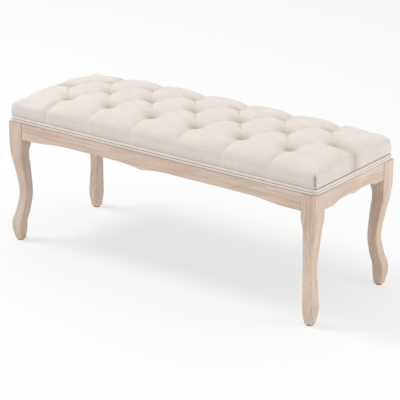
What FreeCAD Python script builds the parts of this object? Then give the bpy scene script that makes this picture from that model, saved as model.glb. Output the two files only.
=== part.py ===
"""Upholstered bench: cabriole legs, shaped rails and a deep-tufted seat with a double welt.

Millimetres. The origin is on the floor under the middle of the bench, with X along its
length, the front at -Y and Z up.
"""
import FreeCAD, Part
import math
import os
import Sketcher
from FreeCAD import Placement, Rotation, Vector

# Driving sizes: name, value, what it is
SIZES = [
    ("bench_length", 1100, "length over the leg posts"),
    ("bench_width", 404, "width over the leg posts"),
    ("frame_height", 383, "floor to the top of the rails and posts"),
    ("glide_height", 5, "thickness of a glide"),
    ("glide_diameter", 20, "diameter of a glide"),
    ("glide_chamfer", 1.5, "lower edge of a glide"),
    ("nail_diameter", 2.4, "shank of a glide nail"),
    ("nail_length", 16, "glide nail in the foot"),
    ("nail_head", 7, "diameter of a glide nail's head"),
    ("post_size", 48, "side of a leg post"),
    ("post_round", 2.5, "rounding of a post's edges"),
    ("leg_round", 5, "rounding of the curved leg's edges"),
    ("post_drop", 14, "straight post below the rails"),
    ("throat_height", 283, "station under the post"),
    ("throat_inset", 1.5, "outer face there, in from the post's"),
    ("throat_side", 42, "side of the leg there"),
    ("shin_height", 228, "station above the ankle"),
    ("shin_inset", 10, "outer face there, in from the post's"),
    ("shin_side", 36.5, "side of the leg there"),
    ("ankle_height", 155, "slimmest station"),
    ("ankle_inset", 18, "outer face there, in from the post's"),
    ("ankle_side", 31.5, "side of the leg there"),
    ("heel_height", 103, "station above the foot"),
    ("heel_inset", 11, "outer face there, in from the post's"),
    ("heel_side", 33.5, "side of the leg there"),
    ("toe_height", 52, "widest station of the foot"),
    ("toe_inset", 0, "outer face there, in from the post's"),
    ("toe_side", 36, "side of the foot there"),
    ("instep_height", 22, "station of the foot under the toe"),
    ("instep_inset", 3.5, "outer face there, in from the post's"),
    ("instep_side", 30.5, "side of the foot there"),
    ("sole_inset", 7, "outer face at the sole, in from the post's"),
    ("sole_side", 25, "side of the sole"),
    ("rail_thickness", 22, "thickness of a rail"),
    ("rail_setback", 2.5, "rail's face behind the post's face"),
    ("rail_depth", 51, "height of a rail at the posts"),
    ("arch_rise", 9.5, "arch above the rail's lowest edge"),
    ("bracket_flat", 27, "level stretch beside a post, long rails"),
    ("bracket_run", 170, "curve from that stretch up to the arch, long rails"),
    ("drop_shift", 43, "drop of the front rail left of the middle, as seen"),
    ("drop_left", 130, "left wing of the front rail's drop"),
    ("drop_right", 100, "right wing of the front rail's drop"),
    ("drop_depth", 9.5, "drop below the arch, long rails"),
    ("end_flat", 40, "level stretch beside a post, end rails"),
    ("end_run", 45, "curve from that stretch up to the arch, end rails"),
    ("end_wing", 36, "each wing of an end rail's drop"),
    ("end_drop", 5.5, "drop below the arch, end rails"),
    ("tenon_length", 22, "tenon into the post"),
    ("tenon_thickness", 10, "thickness of a tenon"),
    ("tenon_shoulder", 9, "shoulder above a tenon, and between it and the arch"),
    ("tenon_slack", 0.15, "play round a tenon in its mortise"),
    ("block_height", 30, "height of a corner block"),
    ("block_reach", 64, "corner block along the rail past the post"),
    ("block_screw", 4.5, "shank of a block or brace screw"),
    ("block_screw_head", 9, "head of a block or brace screw"),
    ("block_screw_length", 34, "length of a block or brace screw"),
    ("screw_bite", 15, "block or brace screw in the rail"),
    ("brace_width", 34, "width of a cross brace"),
    ("brace_height", 30, "height of a cross brace"),
    ("seat_screw", 5, "shank of a seat screw"),
    ("seat_screw_head", 10, "head of a seat screw"),
    ("seat_screw_length", 38, "length of a seat screw"),
    ("seat_screw_grip", 26, "wood of the block or brace under a seat screw's head, above it"),
    ("seat_screw_edge", 8, "seat screw of a corner block, past the post's inner faces"),
    ("screw_slack", 0.15, "play round every screw"),
    ("board_thickness", 18, "seat board"),
    ("corner_radius", 16, "corner of the seat in plan, over the cover"),
    ("bead_diameter", 8, "each bead of the double welt"),
    ("bead_inset", 0.8, "bead's outside, in from the post's face"),
    ("welt_fabric", 0.9, "fabric round the welt cords"),
    ("welt_web", 2.6, "height of the sewn web between the beads"),
    ("cover_thickness", 1.2, "seat cover"),
    ("soft_gap", 0.3, "clearance between soft pieces and their neighbours"),
    ("cover_inset", 2.5, "side of the cushion, in from the post's face"),
    ("side_height", 30, "upright side of the cushion above the board"),
    ("side_swell", 2, "how far that side swells at mid height"),
    ("shoulder_radius", 34, "rounding of the cushion's upper edge"),
    ("shoulder_height", 64, "top of that rounding above the board"),
    ("valley_height", 55, "the same at a pleat"),
    ("valley_depth", 3, "how far a pleat draws the side in"),
    ("pleat_dip", 1, "how far the outer panel sinks below the shoulder at a pleat"),
    ("panel_crown", 79, "crown of the outer puffs above the board"),
    ("diamond_crown", 83, "crown of the middle puffs above the board"),
    ("fold_height", 61, "folds between two tufts, above the board"),
    ("tuft_height", 48, "bottom of a tuft above the board"),
    ("tuft_end", 73, "end tuft from the bench's end"),
    ("tuft_front", 97, "outer rows of tufts from the bench's face"),
    ("button_diameter", 15, "tuft button"),
    ("button_height", 6, "tuft button"),
    ("twine_diameter", 1.8, "tufting twine"),
    ("twine_hole", 2.6, "hole for it in the foam and in the cover"),
    ("board_hole", 6, "hole for it in the board"),
    ("back_button_diameter", 16, "back button under the board"),
    ("back_button_thickness", 3, "back button under the board"),
    ("staple_crown", 10, "crown of a staple"),
    ("staple_leg", 6, "leg of a staple"),
    ("staple_wire", 0.7, "wire of a staple"),
    ("staple_slack", 0.1, "a cover staple clear of the welt's web"),
    ("staple_pitch", 60, "cover staples along the board's edge, about"),
    ("dust_cloth", 0.5, "thickness of the dust cloth"),
    ("dust_gap", 1, "dust cloth clear of the rails and posts"),
]

# Counts
MIDDLE_TUFTS = 7
OUTER_TUFTS = MIDDLE_TUFTS - 1

# Height between two sections of a leg's curve
LEG_STEP = 18

# Places given as shares, of a corner block's reach or arm and of the tufts' pitch
BLOCK_SCREW_SHARE = 0.45
BLOCK_STAPLE_ALONG = 0.625
BLOCK_STAPLE_ACROSS = 0.25
BRACE_STAPLE_SHARE = 0.5
BRACE_COLUMN = 1.25

# Shape of the cushion: width of its shoulder as a share of the shoulder's radius, phase of
# the sections from one pleat to the next, and stations of the rounded ends in radii
SHOULDER_SHARE = 0.9
PLEAT_PHASES = (1.0, 0.7, 0.38, 0.07, 0.38, 0.7, 1.0)
END_STEPS = (1.0, 0.55, 0.28, 0.1, 0.02, 0.0)

LEFT, RIGHT, FRONT, BACK = -1, 1, -1, 1
SIDE_NAMES = {LEFT: "left", RIGHT: "right"}
ROW_NAMES = {FRONT: "front", BACK: "back"}


class Size:
    """A length that knows its value and the formula on the sheet that gives it."""

    def __init__(self, value, text):
        self.value = value
        self.text = text

    def joined(self, other, sign, value):
        text = other.text if isinstance(other, Size) else repr(other)
        return Size(value, "(%s %s %s)" % (self.text, sign, text))

    def __add__(self, other):
        return self.joined(other, "+", self.value + number(other))

    def __sub__(self, other):
        return self.joined(other, "-", self.value - number(other))

    def __mul__(self, other):
        return self.joined(other, "*", self.value * number(other))

    def __truediv__(self, other):
        return self.joined(other, "/", self.value / number(other))

    def __neg__(self):
        return self * -1

    def __rmul__(self, other):
        return self * other


class Sizes:
    """The driving sizes by name."""


def number(size):
    return size.value if isinstance(size, Size) else float(size)


def make_sheet(doc):
    """Put the driving sizes on a sheet, each under its own alias."""
    sheet = doc.addObject("Spreadsheet::Sheet", "sizes")
    sizes = Sizes()
    for row, (name, value, note) in enumerate(SIZES, start=1):
        sheet.set("A%d" % row, note)
        sheet.set("B%d" % row, str(value))
        sheet.setAlias("B%d" % row, name)
    doc.recompute()
    for name, _, _ in SIZES:
        setattr(sizes, name, Size(float(sheet.get(name)), "sizes." + name))
    return sizes


def bind(feature, prop, size):
    """Tie a property to the sheet, or set it where it is a plain number."""
    if isinstance(size, Size):
        feature.setExpression(prop, size.text)
    else:
        feature.setExpression(prop, repr(float(size)))


def place(feature, where, rotation=None):
    """Put a feature's origin at a point, turned as asked."""
    feature.Placement = Placement(Vector(*[number(part) for part in where]), rotation or Rotation())
    for axis, part in zip("xyz", where):
        bind(feature, "Placement.Base." + axis, part)
    return feature


UP = Rotation()
DOWN = Rotation(Vector(1, 0, 0), 180)
UPRIGHT = Rotation(Vector(1, 0, 0), 90)


def along(direction):
    """Turn that carries +Z to a direction."""
    return Rotation(Vector(0, 0, 1), Vector(*direction))


def box(name, length, width, height, corner):
    piece = DOC.addObject("Part::Box", name)
    bind(piece, "Length", length)
    bind(piece, "Width", width)
    bind(piece, "Height", height)
    return place(piece, corner)


def cylinder(name, diameter, height, base, turn=UP):
    piece = DOC.addObject("Part::Cylinder", name)
    bind(piece, "Radius", diameter / 2)
    bind(piece, "Height", height)
    return place(piece, base, turn)


def cone(name, lower, upper, height, base, turn=UP):
    piece = DOC.addObject("Part::Cone", name)
    bind(piece, "Radius1", lower / 2)
    bind(piece, "Radius2", upper / 2)
    bind(piece, "Height", height)
    return place(piece, base, turn)


def group(name, members):
    """Several solids as one piece, such as all fasteners of a kind."""
    piece = DOC.addObject("Part::Compound", name)
    piece.Links = members
    return piece


def fuse(name, members):
    piece = DOC.addObject("Part::MultiFuse", name)
    piece.Shapes = members
    piece.Refine = True
    return piece


def cut(name, base, tool):
    piece = DOC.addObject("Part::Cut", name)
    piece.Base = base
    piece.Tool = tool
    return piece


def shaped(name, shape):
    """A piece whose curved form is worked out here from the sheet's sizes."""
    piece = DOC.addObject("Part::Feature", name)
    piece.Shape = shape
    return piece


def finish(piece, label):
    """Name a sub-part and keep it for writing."""
    piece.Label = label
    PARTS.append(piece)
    return piece


def origin_plane(body, role):
    return next(plane for plane in body.Origin.OriginFeatures if plane.Role == role)


def pin_point(sketch, edge, end, axis, size):
    """Fix one coordinate of a point, on the axis itself where it is nought."""
    if abs(number(size)) < 1e-9:
        base_line = {"X": -2, "Y": -1}[axis]
        sketch.addConstraint(Sketcher.Constraint("PointOnObject", edge, end, base_line))
        return
    index = sketch.addConstraint(
        Sketcher.Constraint("Distance" + axis, -1, 1, edge, end, number(size)))
    bind(sketch, "Constraints[%d]" % index, size)


def draw_outline(sketch, corners, radii=None):
    """Closed outline through corners, counter-clockwise.

    radii[i] is the radius of the arc that leaves corner i: positive bends to the left,
    with its centre on the left of the way to the next corner, and negative to the right.
    """
    radii = radii or {}
    count = len(corners)
    points = [Vector(number(across), number(up), 0) for across, up in corners]
    starts = {}
    for index in range(count):
        here = points[index]
        there = points[(index + 1) % count]
        if index not in radii:
            sketch.addGeometry(Part.LineSegment(here, there), False)
            starts[index] = (1, 2)
            continue
        radius = number(radii[index])
        half = (there - here) * 0.5
        side = Vector(-half.y, half.x, 0).normalize()
        reach = math.sqrt(radius * radius - half.Length * half.Length)
        centre = here + half + side * (reach if radius > 0 else -reach)
        first, last = (here, there) if radius > 0 else (there, here)
        circle = Part.Circle(centre, Vector(0, 0, 1), abs(radius))
        arc = Part.ArcOfCircle(circle, circle.parameter(first), circle.parameter(last))
        sketch.addGeometry(arc, False)
        starts[index] = (1, 2) if radius > 0 else (2, 1)
    for index in range(count):
        after = (index + 1) % count
        joint = Sketcher.Constraint("Coincident", index, starts[index][1], after, starts[after][0])
        sketch.addConstraint(joint)
    for index, (across, up) in enumerate(corners):
        pin_point(sketch, index, starts[index][0], "X", across)
        pin_point(sketch, index, starts[index][0], "Y", up)
    for index, radius in radii.items():
        size = radius if number(radius) > 0 else -radius
        held = sketch.addConstraint(Sketcher.Constraint("Radius", index, number(size)))
        bind(sketch, "Constraints[%d]" % held, size)


def pad(body, name, corners, height, radii=None, lift=None):
    """Pad an outline drawn on the body's own base plane, raised by lift."""
    sketch = body.newObject("Sketcher::SketchObject", name + "_sketch")
    sketch.AttachmentSupport = (origin_plane(body, "XY_Plane"), [""])
    sketch.MapMode = "FlatFace"
    if lift is not None:
        bind(sketch, "AttachmentOffset.Base.z", lift)
    draw_outline(sketch, corners, radii)
    feature = body.newObject("PartDesign::Pad", name)
    feature.Profile = sketch
    bind(feature, "Length", height)
    body.Tip = feature
    return feature


def new_body(name):
    return DOC.addObject("PartDesign::Body", name)


# Wood frame

def rounded_wire(x_low, x_high, y_low, y_high, height, radius):
    """Rounded rectangle, counter-clockwise from the end of its first corner."""
    bend = radius * math.sqrt(0.5)
    edges = []
    corners = [
        (x_high - radius, y_low + radius, 0, -1),
        (x_high - radius, y_high - radius, 1, 0),
        (x_low + radius, y_high - radius, 0, 1),
        (x_low + radius, y_low + radius, -1, 0),
    ]
    last = Vector(x_low + radius, y_low, height)
    for x, y, step_x, step_y in corners:
        start = Vector(x + step_x * radius, y + step_y * radius, height)
        end = Vector(x - step_y * radius, y + step_x * radius, height)
        middle = Vector(x + (step_x - step_y) * bend, y + (step_y + step_x) * bend, height)
        edges.append(Part.LineSegment(last, start).toShape())
        edges.append(Part.Arc(start, middle, end).toShape())
        last = end
    return Part.Wire(edges)


def eased(stations, at):
    """Value at a height on the smooth curve through (height, value), with no overshoot."""
    heights = [height for height, _ in stations]
    values = [value for _, value in stations]
    count = len(stations)
    rises = []
    for index in range(count - 1):
        rises.append((values[index + 1] - values[index]) / (heights[index + 1] - heights[index]))
    slopes = [0.0] * count
    for index in range(1, count - 1):
        before, after = rises[index - 1], rises[index]
        if before * after > 0:
            slopes[index] = 2 * before * after / (before + after)
    index = 0
    while index < count - 2 and at > heights[index + 1]:
        index += 1
    span = heights[index + 1] - heights[index]
    part = (at - heights[index]) / span
    blend = part * part * (3 - 2 * part)
    start = values[index] + slopes[index] * span * part * (1 - part) ** 2
    end = (values[index + 1] - values[index]) * blend
    return start + end - slopes[index + 1] * span * part * part * (1 - part)


def leg_shape(side, row):
    """Leg whose outer faces both follow the same curve, so that it bows along its diagonal."""
    corner_x = side * D.bench_length.value / 2
    corner_y = row * D.bench_width.value / 2

    def section(height, inset, width, radius):
        xs = sorted([corner_x - side * inset, corner_x - side * (inset + width)])
        ys = sorted([corner_y - row * inset, corner_y - row * (inset + width)])
        return rounded_wire(xs[0], xs[1], ys[0], ys[1], height, radius)

    post_foot = D.frame_height.value - D.rail_depth.value - D.post_drop.value
    post = section(post_foot, 0, D.post_size.value, D.post_round.value)
    stations = [
        (D.glide_height, D.sole_inset, D.sole_side),
        (D.instep_height, D.instep_inset, D.instep_side),
        (D.toe_height, D.toe_inset, D.toe_side),
        (D.heel_height, D.heel_inset, D.heel_side),
        (D.ankle_height, D.ankle_inset, D.ankle_side),
        (D.shin_height, D.shin_inset, D.shin_side),
        (D.throat_height, D.throat_inset, D.throat_side),
    ]
    insets = [(height.value, inset.value) for height, inset, _ in stations] + [(post_foot, 0.0)]
    widths = [(height.value, width.value) for height, _, width in stations]
    widths.append((post_foot, D.post_size.value))
    sole = D.glide_height.value
    count = int(round((post_foot - sole) / LEG_STEP))
    sections = []
    for index in range(count):
        height = sole + (post_foot - sole) * index / count
        near_post = min(1.0, (post_foot - height) / (LEG_STEP * 2))
        radius = D.post_round.value + (D.leg_round.value - D.post_round.value) * near_post
        sections.append(section(height, eased(insets, height), eased(widths, height), radius))
    sections.append(post)
    curved = Part.makeLoft(sections, True, False)
    straight = Part.Face(post).extrude(Vector(0, 0, D.frame_height.value - post_foot))
    return straight.fuse(curved).removeSplitter()


def inner_half_x():
    """Inner face of an end rail, from the bench's middle."""
    return D.bench_length / 2 - D.rail_setback - D.rail_thickness


def inner_half_y():
    """Inner face of a long rail, from the bench's middle."""
    return D.bench_width / 2 - D.rail_setback - D.rail_thickness


def rail_inner(row):
    """Y of a long rail's inner face."""
    return inner_half_y() * row


def post_notch():
    """How far a post stands inside the rails' inner faces."""
    return D.post_size - D.rail_setback - D.rail_thickness


def block_arm():
    """Length of a corner block along each rail, from the rails' inner corner."""
    return D.block_reach + post_notch()


def rail_middle(half_size):
    """Middle of a rail's thickness, measured from the bench's middle."""
    return half_size - D.rail_setback - D.rail_thickness / 2


def tenon_levels():
    """Lower and upper face of every tenon."""
    low = D.frame_height - D.rail_depth + D.arch_rise + D.tenon_shoulder
    high = D.frame_height - D.tenon_shoulder
    return low, high


def mortises(name, side, row):
    """Two pockets in a post, for the tenons of its long rail and its end rail."""
    low, high = tenon_levels()
    slack = D.tenon_slack
    inner_x = D.bench_length / 2 - D.post_size
    inner_y = D.bench_width / 2 - D.post_size
    depth = D.tenon_length + slack
    wide = D.tenon_thickness + slack * 2
    tall = high - low + slack * 2
    long_x = inner_x if side == RIGHT else -(inner_x + depth)
    long_y = rail_middle(D.bench_width / 2) * row - wide / 2
    end_x = rail_middle(D.bench_length / 2) * side - wide / 2
    end_y = inner_y if row == BACK else -(inner_y + depth)
    long_pocket = box(name + "_long_mortise", depth, wide, tall, (long_x, long_y, low - slack))
    end_pocket = box(name + "_end_mortise", wide, depth, tall, (end_x, end_y, low - slack))
    return [long_pocket, end_pocket]


def glide_centre(side, row):
    """Middle of the sole of a leg."""
    into = D.sole_inset + D.sole_side / 2
    return (D.bench_length / 2 - into) * side, (D.bench_width / 2 - into) * row


def make_leg(side, row):
    name = "leg_%s_%s" % (ROW_NAMES[row], SIDE_NAMES[side])
    x, y = glide_centre(side, row)
    nail_hole = cylinder(
        name + "_nail_hole", D.nail_diameter + D.screw_slack * 2,
        D.nail_length + D.screw_slack, (x, y, D.glide_height))
    pockets = group(name + "_pockets", mortises(name, side, row) + [nail_hole])
    finish(cut(name, shaped(name + "_form", leg_shape(side, row)), pockets), name)


def rail_outline(length, flat, run, shift, wing_left, wing_right, drop):
    """Corners and arc radii of a rail seen from outside, from its left lower corner."""
    depth = D.rail_depth
    rise = D.arch_rise
    centre = length / 2 - shift
    corners = [
        (0, 0),
        (flat, 0),
        (flat + run / 2, rise / 2),
        (flat + run, rise),
        (centre - wing_left, rise),
        (centre, rise - drop),
        (centre + wing_right, rise),
        (length - flat - run, rise),
        (length - flat - run / 2, rise / 2),
        (length - flat, 0),
        (length, 0),
        (length, depth),
        (0, depth),
    ]
    bracket = (run * run + rise * rise) / (rise * 4)
    left = (wing_left * wing_left + drop * drop) / (drop * 2)
    right = (wing_right * wing_right + drop * drop) / (drop * 2)
    radii = {1: bracket, 2: -bracket, 4: -left, 5: -right, 7: -bracket, 8: bracket}
    return corners, radii


def screw_profile(name, shank, head, length, at, direction, slack=0):
    """Countersunk screw with its head's face at a point, or the hole that it needs."""
    turn = along(direction)
    wide = head + slack * 2
    narrow = shank + slack * 2
    top = cone(name + "_head", wide, narrow, (head - shank) / 2, at, turn)
    stem = cylinder(name + "_shank", narrow, length + slack, at, turn)
    return fuse(name, [top, stem])


def rail_screw(name, at, direction, slack=0):
    """Screw of a corner block or brace, or the hole that it needs."""
    return screw_profile(
        name, D.block_screw, D.block_screw_head, D.block_screw_length, at, direction, slack)


def rail_screws():
    """Every screw that holds a block or brace to a rail: head point and direction."""
    gap_x = D.bench_length / 2 - D.post_size
    gap_y = D.bench_width / 2 - D.post_size
    into = D.block_screw_length - D.screw_bite
    low = D.frame_height - D.block_height / 2
    reach = D.block_reach * BLOCK_SCREW_SHARE
    screws = []
    for row in (FRONT, BACK):
        for side in (LEFT, RIGHT):
            key = ROW_NAMES[row] + "_" + SIDE_NAMES[side]
            long_at = ((gap_x - reach) * side, rail_inner(row) - into * row, low)
            end_at = ((inner_half_x() - into) * side, (gap_y - reach) * row, low)
            screws.append(("long_" + key, row, "long", long_at, (0, row, 0)))
            screws.append(("end_" + key, side, "end", end_at, (side, 0, 0)))
    return screws


def screw_hole(key, at, direction):
    """Room for one rail screw and for the driver behind its head."""
    hole = rail_screw(key, at, direction, D.screw_slack)
    back = tuple(-step for step in direction)
    driver = cylinder(
        key + "_driver", D.block_screw_head + D.screw_slack * 2, D.block_reach, at, along(back))
    return [hole, driver]


def make_rail(name, length, at, turn, outline, holes):
    """Rail between two posts, with a tenon at each end and holes for its screws."""
    corners, radii = outline
    body = new_body(name + "_blank")
    pad(body, name + "_pad", corners, D.rail_thickness, radii)
    low = D.arch_rise + D.tenon_shoulder
    high = D.rail_depth - D.tenon_shoulder
    tenon = [
        (-D.tenon_length, low),
        (length + D.tenon_length, low),
        (length + D.tenon_length, high),
        (-D.tenon_length, high),
    ]
    lift = (D.rail_thickness - D.tenon_thickness) / 2
    pad(body, name + "_tenons", tenon, D.tenon_thickness, lift=lift)
    place(body, at, turn)
    finish(cut(name, body, group(name + "_holes", holes)), name)


def make_rails():
    foot = D.frame_height - D.rail_depth
    length = D.bench_length - D.post_size * 2
    width = D.bench_width - D.post_size * 2
    screws = rail_screws()
    drops = {
        FRONT: (D.drop_shift, D.drop_left, D.drop_right),
        BACK: (0, D.drop_left, D.drop_left),
    }
    for row in (FRONT, BACK):
        name = ROW_NAMES[row] + "_rail"
        shift, wing_left, wing_right = drops[row]
        outline = rail_outline(
            length, D.bracket_flat, D.bracket_run, shift, wing_left, wing_right, D.drop_depth)
        turn = UPRIGHT if row == FRONT else Rotation(Vector(0, 0, 1), 180) * UPRIGHT
        holes = []
        for key, where, kind, at, direction in screws:
            if kind == "long" and where == row:
                holes += screw_hole(name + "_" + key, at, direction)
        for side in (LEFT, RIGHT):
            at, direction = brace_screw(side, row)
            holes += screw_hole(name + "_brace_" + SIDE_NAMES[side], at, direction)
        make_rail(name, length, ((length / 2) * row, rail_inner(row), foot), turn, outline, holes)
    for side in (LEFT, RIGHT):
        name = SIDE_NAMES[side] + "_rail"
        outline = rail_outline(
            width, D.end_flat, D.end_run, 0, D.end_wing, D.end_wing, D.end_drop)
        turn = Rotation(Vector(0, 0, 1), 90 * side) * UPRIGHT
        holes = []
        for key, where, kind, at, direction in screws:
            if kind == "end" and where == side:
                holes += screw_hole(name + "_" + key, at, direction)
        at = (inner_half_x() * side, (width / 2) * -side, foot)
        make_rail(name, width, at, turn, outline, holes)


def block_seat_screw(side, row):
    """X and Y of the seat screw in a corner block."""
    into = post_notch() + D.seat_screw_edge
    return (inner_half_x() - into) * side, (inner_half_y() - into) * row


def brace_seat_screw(side, row):
    """X and Y of a seat screw in a brace, between its middle and a row of tufts."""
    return brace_x(side), row_spacing() / 2 * row


def seat_screw_points():
    """X and Y of every seat screw."""
    points = []
    for side in (LEFT, RIGHT):
        for row in (FRONT, BACK):
            points.append(block_seat_screw(side, row))
            points.append(brace_seat_screw(side, row))
    return points


def seat_screw(name, point, slack=0):
    """Seat screw driven up from below, its head let into the block or brace."""
    at = (point[0], point[1], D.frame_height - D.seat_screw_grip)
    return screw_profile(
        name, D.seat_screw, D.seat_screw_head, D.seat_screw_length, at, (0, 0, 1), slack)


def seat_screw_hole(name, point):
    """Room for one seat screw and for the driver below its head."""
    at = (point[0], point[1], D.frame_height - D.seat_screw_grip)
    driver = cylinder(
        name + "_driver", D.seat_screw_head + D.screw_slack * 2, D.seat_screw_grip, at, DOWN)
    return [seat_screw(name, point, D.screw_slack), driver]


def make_corner_blocks():
    """Blocks fitted round the inner corner of each post, glued and screwed to both rails."""
    arm = block_arm()
    notch = post_notch()
    corners = [(notch, 0), (arm, 0), (0, arm), (0, notch), (notch, notch)]
    turns = {(RIGHT, BACK): 180, (LEFT, BACK): 270, (LEFT, FRONT): 0, (RIGHT, FRONT): 90}
    for side in (LEFT, RIGHT):
        for row in (FRONT, BACK):
            name = "corner_block_%s_%s" % (ROW_NAMES[row], SIDE_NAMES[side])
            body = new_body(name + "_blank")
            pad(body, name + "_pad", corners, D.block_height)
            at = (inner_half_x() * side, rail_inner(row), D.frame_height - D.block_height)
            place(body, at, Rotation(Vector(0, 0, 1), turns[(side, row)]))
            holes = []
            for key, _, _, where, direction in rail_screws():
                if key.endswith(ROW_NAMES[row] + "_" + SIDE_NAMES[side]):
                    holes += screw_hole(name + "_" + key, where, direction)
            holes += seat_screw_hole(name + "_seat", block_seat_screw(side, row))
            holes.append(DUST_STAPLES)
            finish(cut(name, body, group(name + "_holes", holes)), name)


def brace_x(side):
    """Middle of a brace: between two columns of tufts, clear of both."""
    return tuft_pitch() * BRACE_COLUMN * side


def brace_screw(side, row):
    into = D.block_screw_length - D.screw_bite
    at = (brace_x(side), rail_inner(row) - into * row, D.frame_height - D.brace_height / 2)
    return at, (0, row, 0)


def make_braces():
    """Braces from the front rail to the back rail, flush with their tops."""
    span = inner_half_y() * 2
    for side in (LEFT, RIGHT):
        name = "cross_brace_" + SIDE_NAMES[side]
        corner = (
            brace_x(side) - D.brace_width / 2, rail_inner(FRONT),
            D.frame_height - D.brace_height)
        blank = box(name + "_blank", D.brace_width, span, D.brace_height, corner)
        holes = []
        for row in (FRONT, BACK):
            at, direction = brace_screw(side, row)
            key = name + "_" + ROW_NAMES[row]
            slot_corner = (
                brace_x(side) - D.block_screw_head / 2 - D.screw_slack,
                at[1] - D.block_screw_head * (1 + row),
                D.frame_height - D.brace_height)
            holes.append(rail_screw(key + "_hole", at, direction, D.screw_slack))
            holes.append(box(
                key + "_slot", D.block_screw_head + D.screw_slack * 2, D.block_screw_head * 2,
                (D.brace_height + D.block_screw_head) / 2, slot_corner))
            holes += seat_screw_hole(key + "_seat", brace_seat_screw(side, row))
        holes.append(DUST_STAPLES)
        finish(cut(name, blank, group(name + "_holes", holes)), name)


def make_frame_screws():
    block_screws = []
    for key, _, _, at, direction in rail_screws():
        block_screws.append(rail_screw("screw_" + key, at, direction))
    finish(group("corner_block_screws", block_screws), "corner_block_screws")
    brace_screws = []
    for side in (LEFT, RIGHT):
        for row in (FRONT, BACK):
            at, direction = brace_screw(side, row)
            key = "screw_brace_%s_%s" % (ROW_NAMES[row], SIDE_NAMES[side])
            brace_screws.append(rail_screw(key, at, direction))
    finish(group("brace_screws", brace_screws), "brace_screws")
    seat_screws = []
    for index, point in enumerate(seat_screw_points()):
        seat_screws.append(seat_screw("seat_screw_%d" % index, point))
    finish(group("seat_screws", seat_screws), "seat_screws")


def make_glides():
    """Hard glide under each foot, held by a nail whose head is sunk in it."""
    nails = []
    for side in (LEFT, RIGHT):
        for row in (FRONT, BACK):
            x, y = glide_centre(side, row)
            name = "glide_%s_%s" % (ROW_NAMES[row], SIDE_NAMES[side])
            rim = cone(
                name + "_rim", D.glide_diameter - D.glide_chamfer * 2, D.glide_diameter,
                D.glide_chamfer, (x, y, 0))
            disc = cylinder(
                name + "_disc", D.glide_diameter, D.glide_height - D.glide_chamfer,
                (x, y, D.glide_chamfer))
            head_top = D.glide_height / 2
            recess = cylinder(
                name + "_recess", D.nail_head + D.screw_slack * 2, head_top + D.screw_slack,
                (x, y, -D.screw_slack))
            bore = cylinder(
                name + "_bore", D.nail_diameter + D.screw_slack * 2, D.glide_height, (x, y, 0))
            form = fuse(name + "_form", [rim, disc])
            finish(cut(name, form, group(name + "_hole", [recess, bore])), name)
            head = cylinder(
                name + "_nail_head", D.nail_head, head_top / 2, (x, y, head_top / 2))
            shank = cylinder(
                name + "_nail_shank", D.nail_diameter, D.nail_length + head_top,
                (x, y, head_top))
            nails.append(fuse(name + "_nail", [head, shank]))
    finish(group("glide_nails", nails), "glide_nails")


# Seat

def tuft_pitch():
    return (D.bench_length / 2 - D.tuft_end) / ((MIDDLE_TUFTS - 1) / 2)


def row_spacing():
    return D.bench_width / 2 - D.tuft_front


def tuft_points():
    """X and Y of every tuft, the rows staggered by half a pitch."""
    points = []
    for row, count in ((FRONT, OUTER_TUFTS), (0, MIDDLE_TUFTS), (BACK, OUTER_TUFTS)):
        for index in range(count):
            across = index - (count - 1) / 2
            points.append((tuft_pitch() * across, row_spacing() * row))
    return points


def board_inset():
    """Board's edge, in from the post's face, under the cover and the welt."""
    return D.bead_inset + D.bead_diameter + D.soft_gap + D.cover_thickness + D.soft_gap


def board_top():
    return D.frame_height + D.board_thickness


def half_plan(inset):
    return D.bench_length.value / 2 - number(inset), D.bench_width.value / 2 - number(inset)


def plan_prism(inset, low, high):
    """Upright prism over the seat's rounded plan, at a given inset."""
    half_x, half_y = half_plan(inset)
    radius = D.corner_radius.value + D.cover_inset.value - number(inset)
    wire = rounded_wire(-half_x, half_x, -half_y, half_y, number(low), radius)
    return Part.Face(wire).extrude(Vector(0, 0, number(high) - number(low)))


def make_board():
    inset = board_inset()
    radius = D.corner_radius + D.cover_inset - inset
    length = D.bench_length - inset * 2
    width = D.bench_width - inset * 2
    corners = [
        (radius, 0), (length - radius, 0), (length, radius), (length, width - radius),
        (length - radius, width), (radius, width), (0, width - radius), (0, radius),
    ]
    radii = {1: radius, 3: radius, 5: radius, 7: radius}
    body = new_body("seat_board_blank")
    pad(body, "seat_board_pad", corners, D.board_thickness, radii)
    place(body, (-length / 2, -width / 2, D.frame_height))
    holes = []
    for index, (x, y) in enumerate(tuft_points()):
        holes.append(cylinder(
            "board_tuft_hole_%d" % index, D.board_hole, D.board_thickness, (x, y, D.frame_height)))
    for index, (x, y) in enumerate(seat_screw_points()):
        depth = D.seat_screw_length - D.seat_screw_grip + D.screw_slack
        holes.append(cylinder(
            "board_screw_hole_%d" % index, D.seat_screw + D.screw_slack * 2, depth,
            (x, y, D.frame_height)))
    holes.append(COVER_STAPLES)
    finish(cut("seat_board", body, group("seat_board_holes", holes)), "seat_board")


def arc_through(first, middle, last):
    return Part.Arc(Vector(*first), Vector(*middle), Vector(*last)).toShape()


def line(first, last):
    return Part.LineSegment(Vector(*first), Vector(*last)).toShape()


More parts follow.
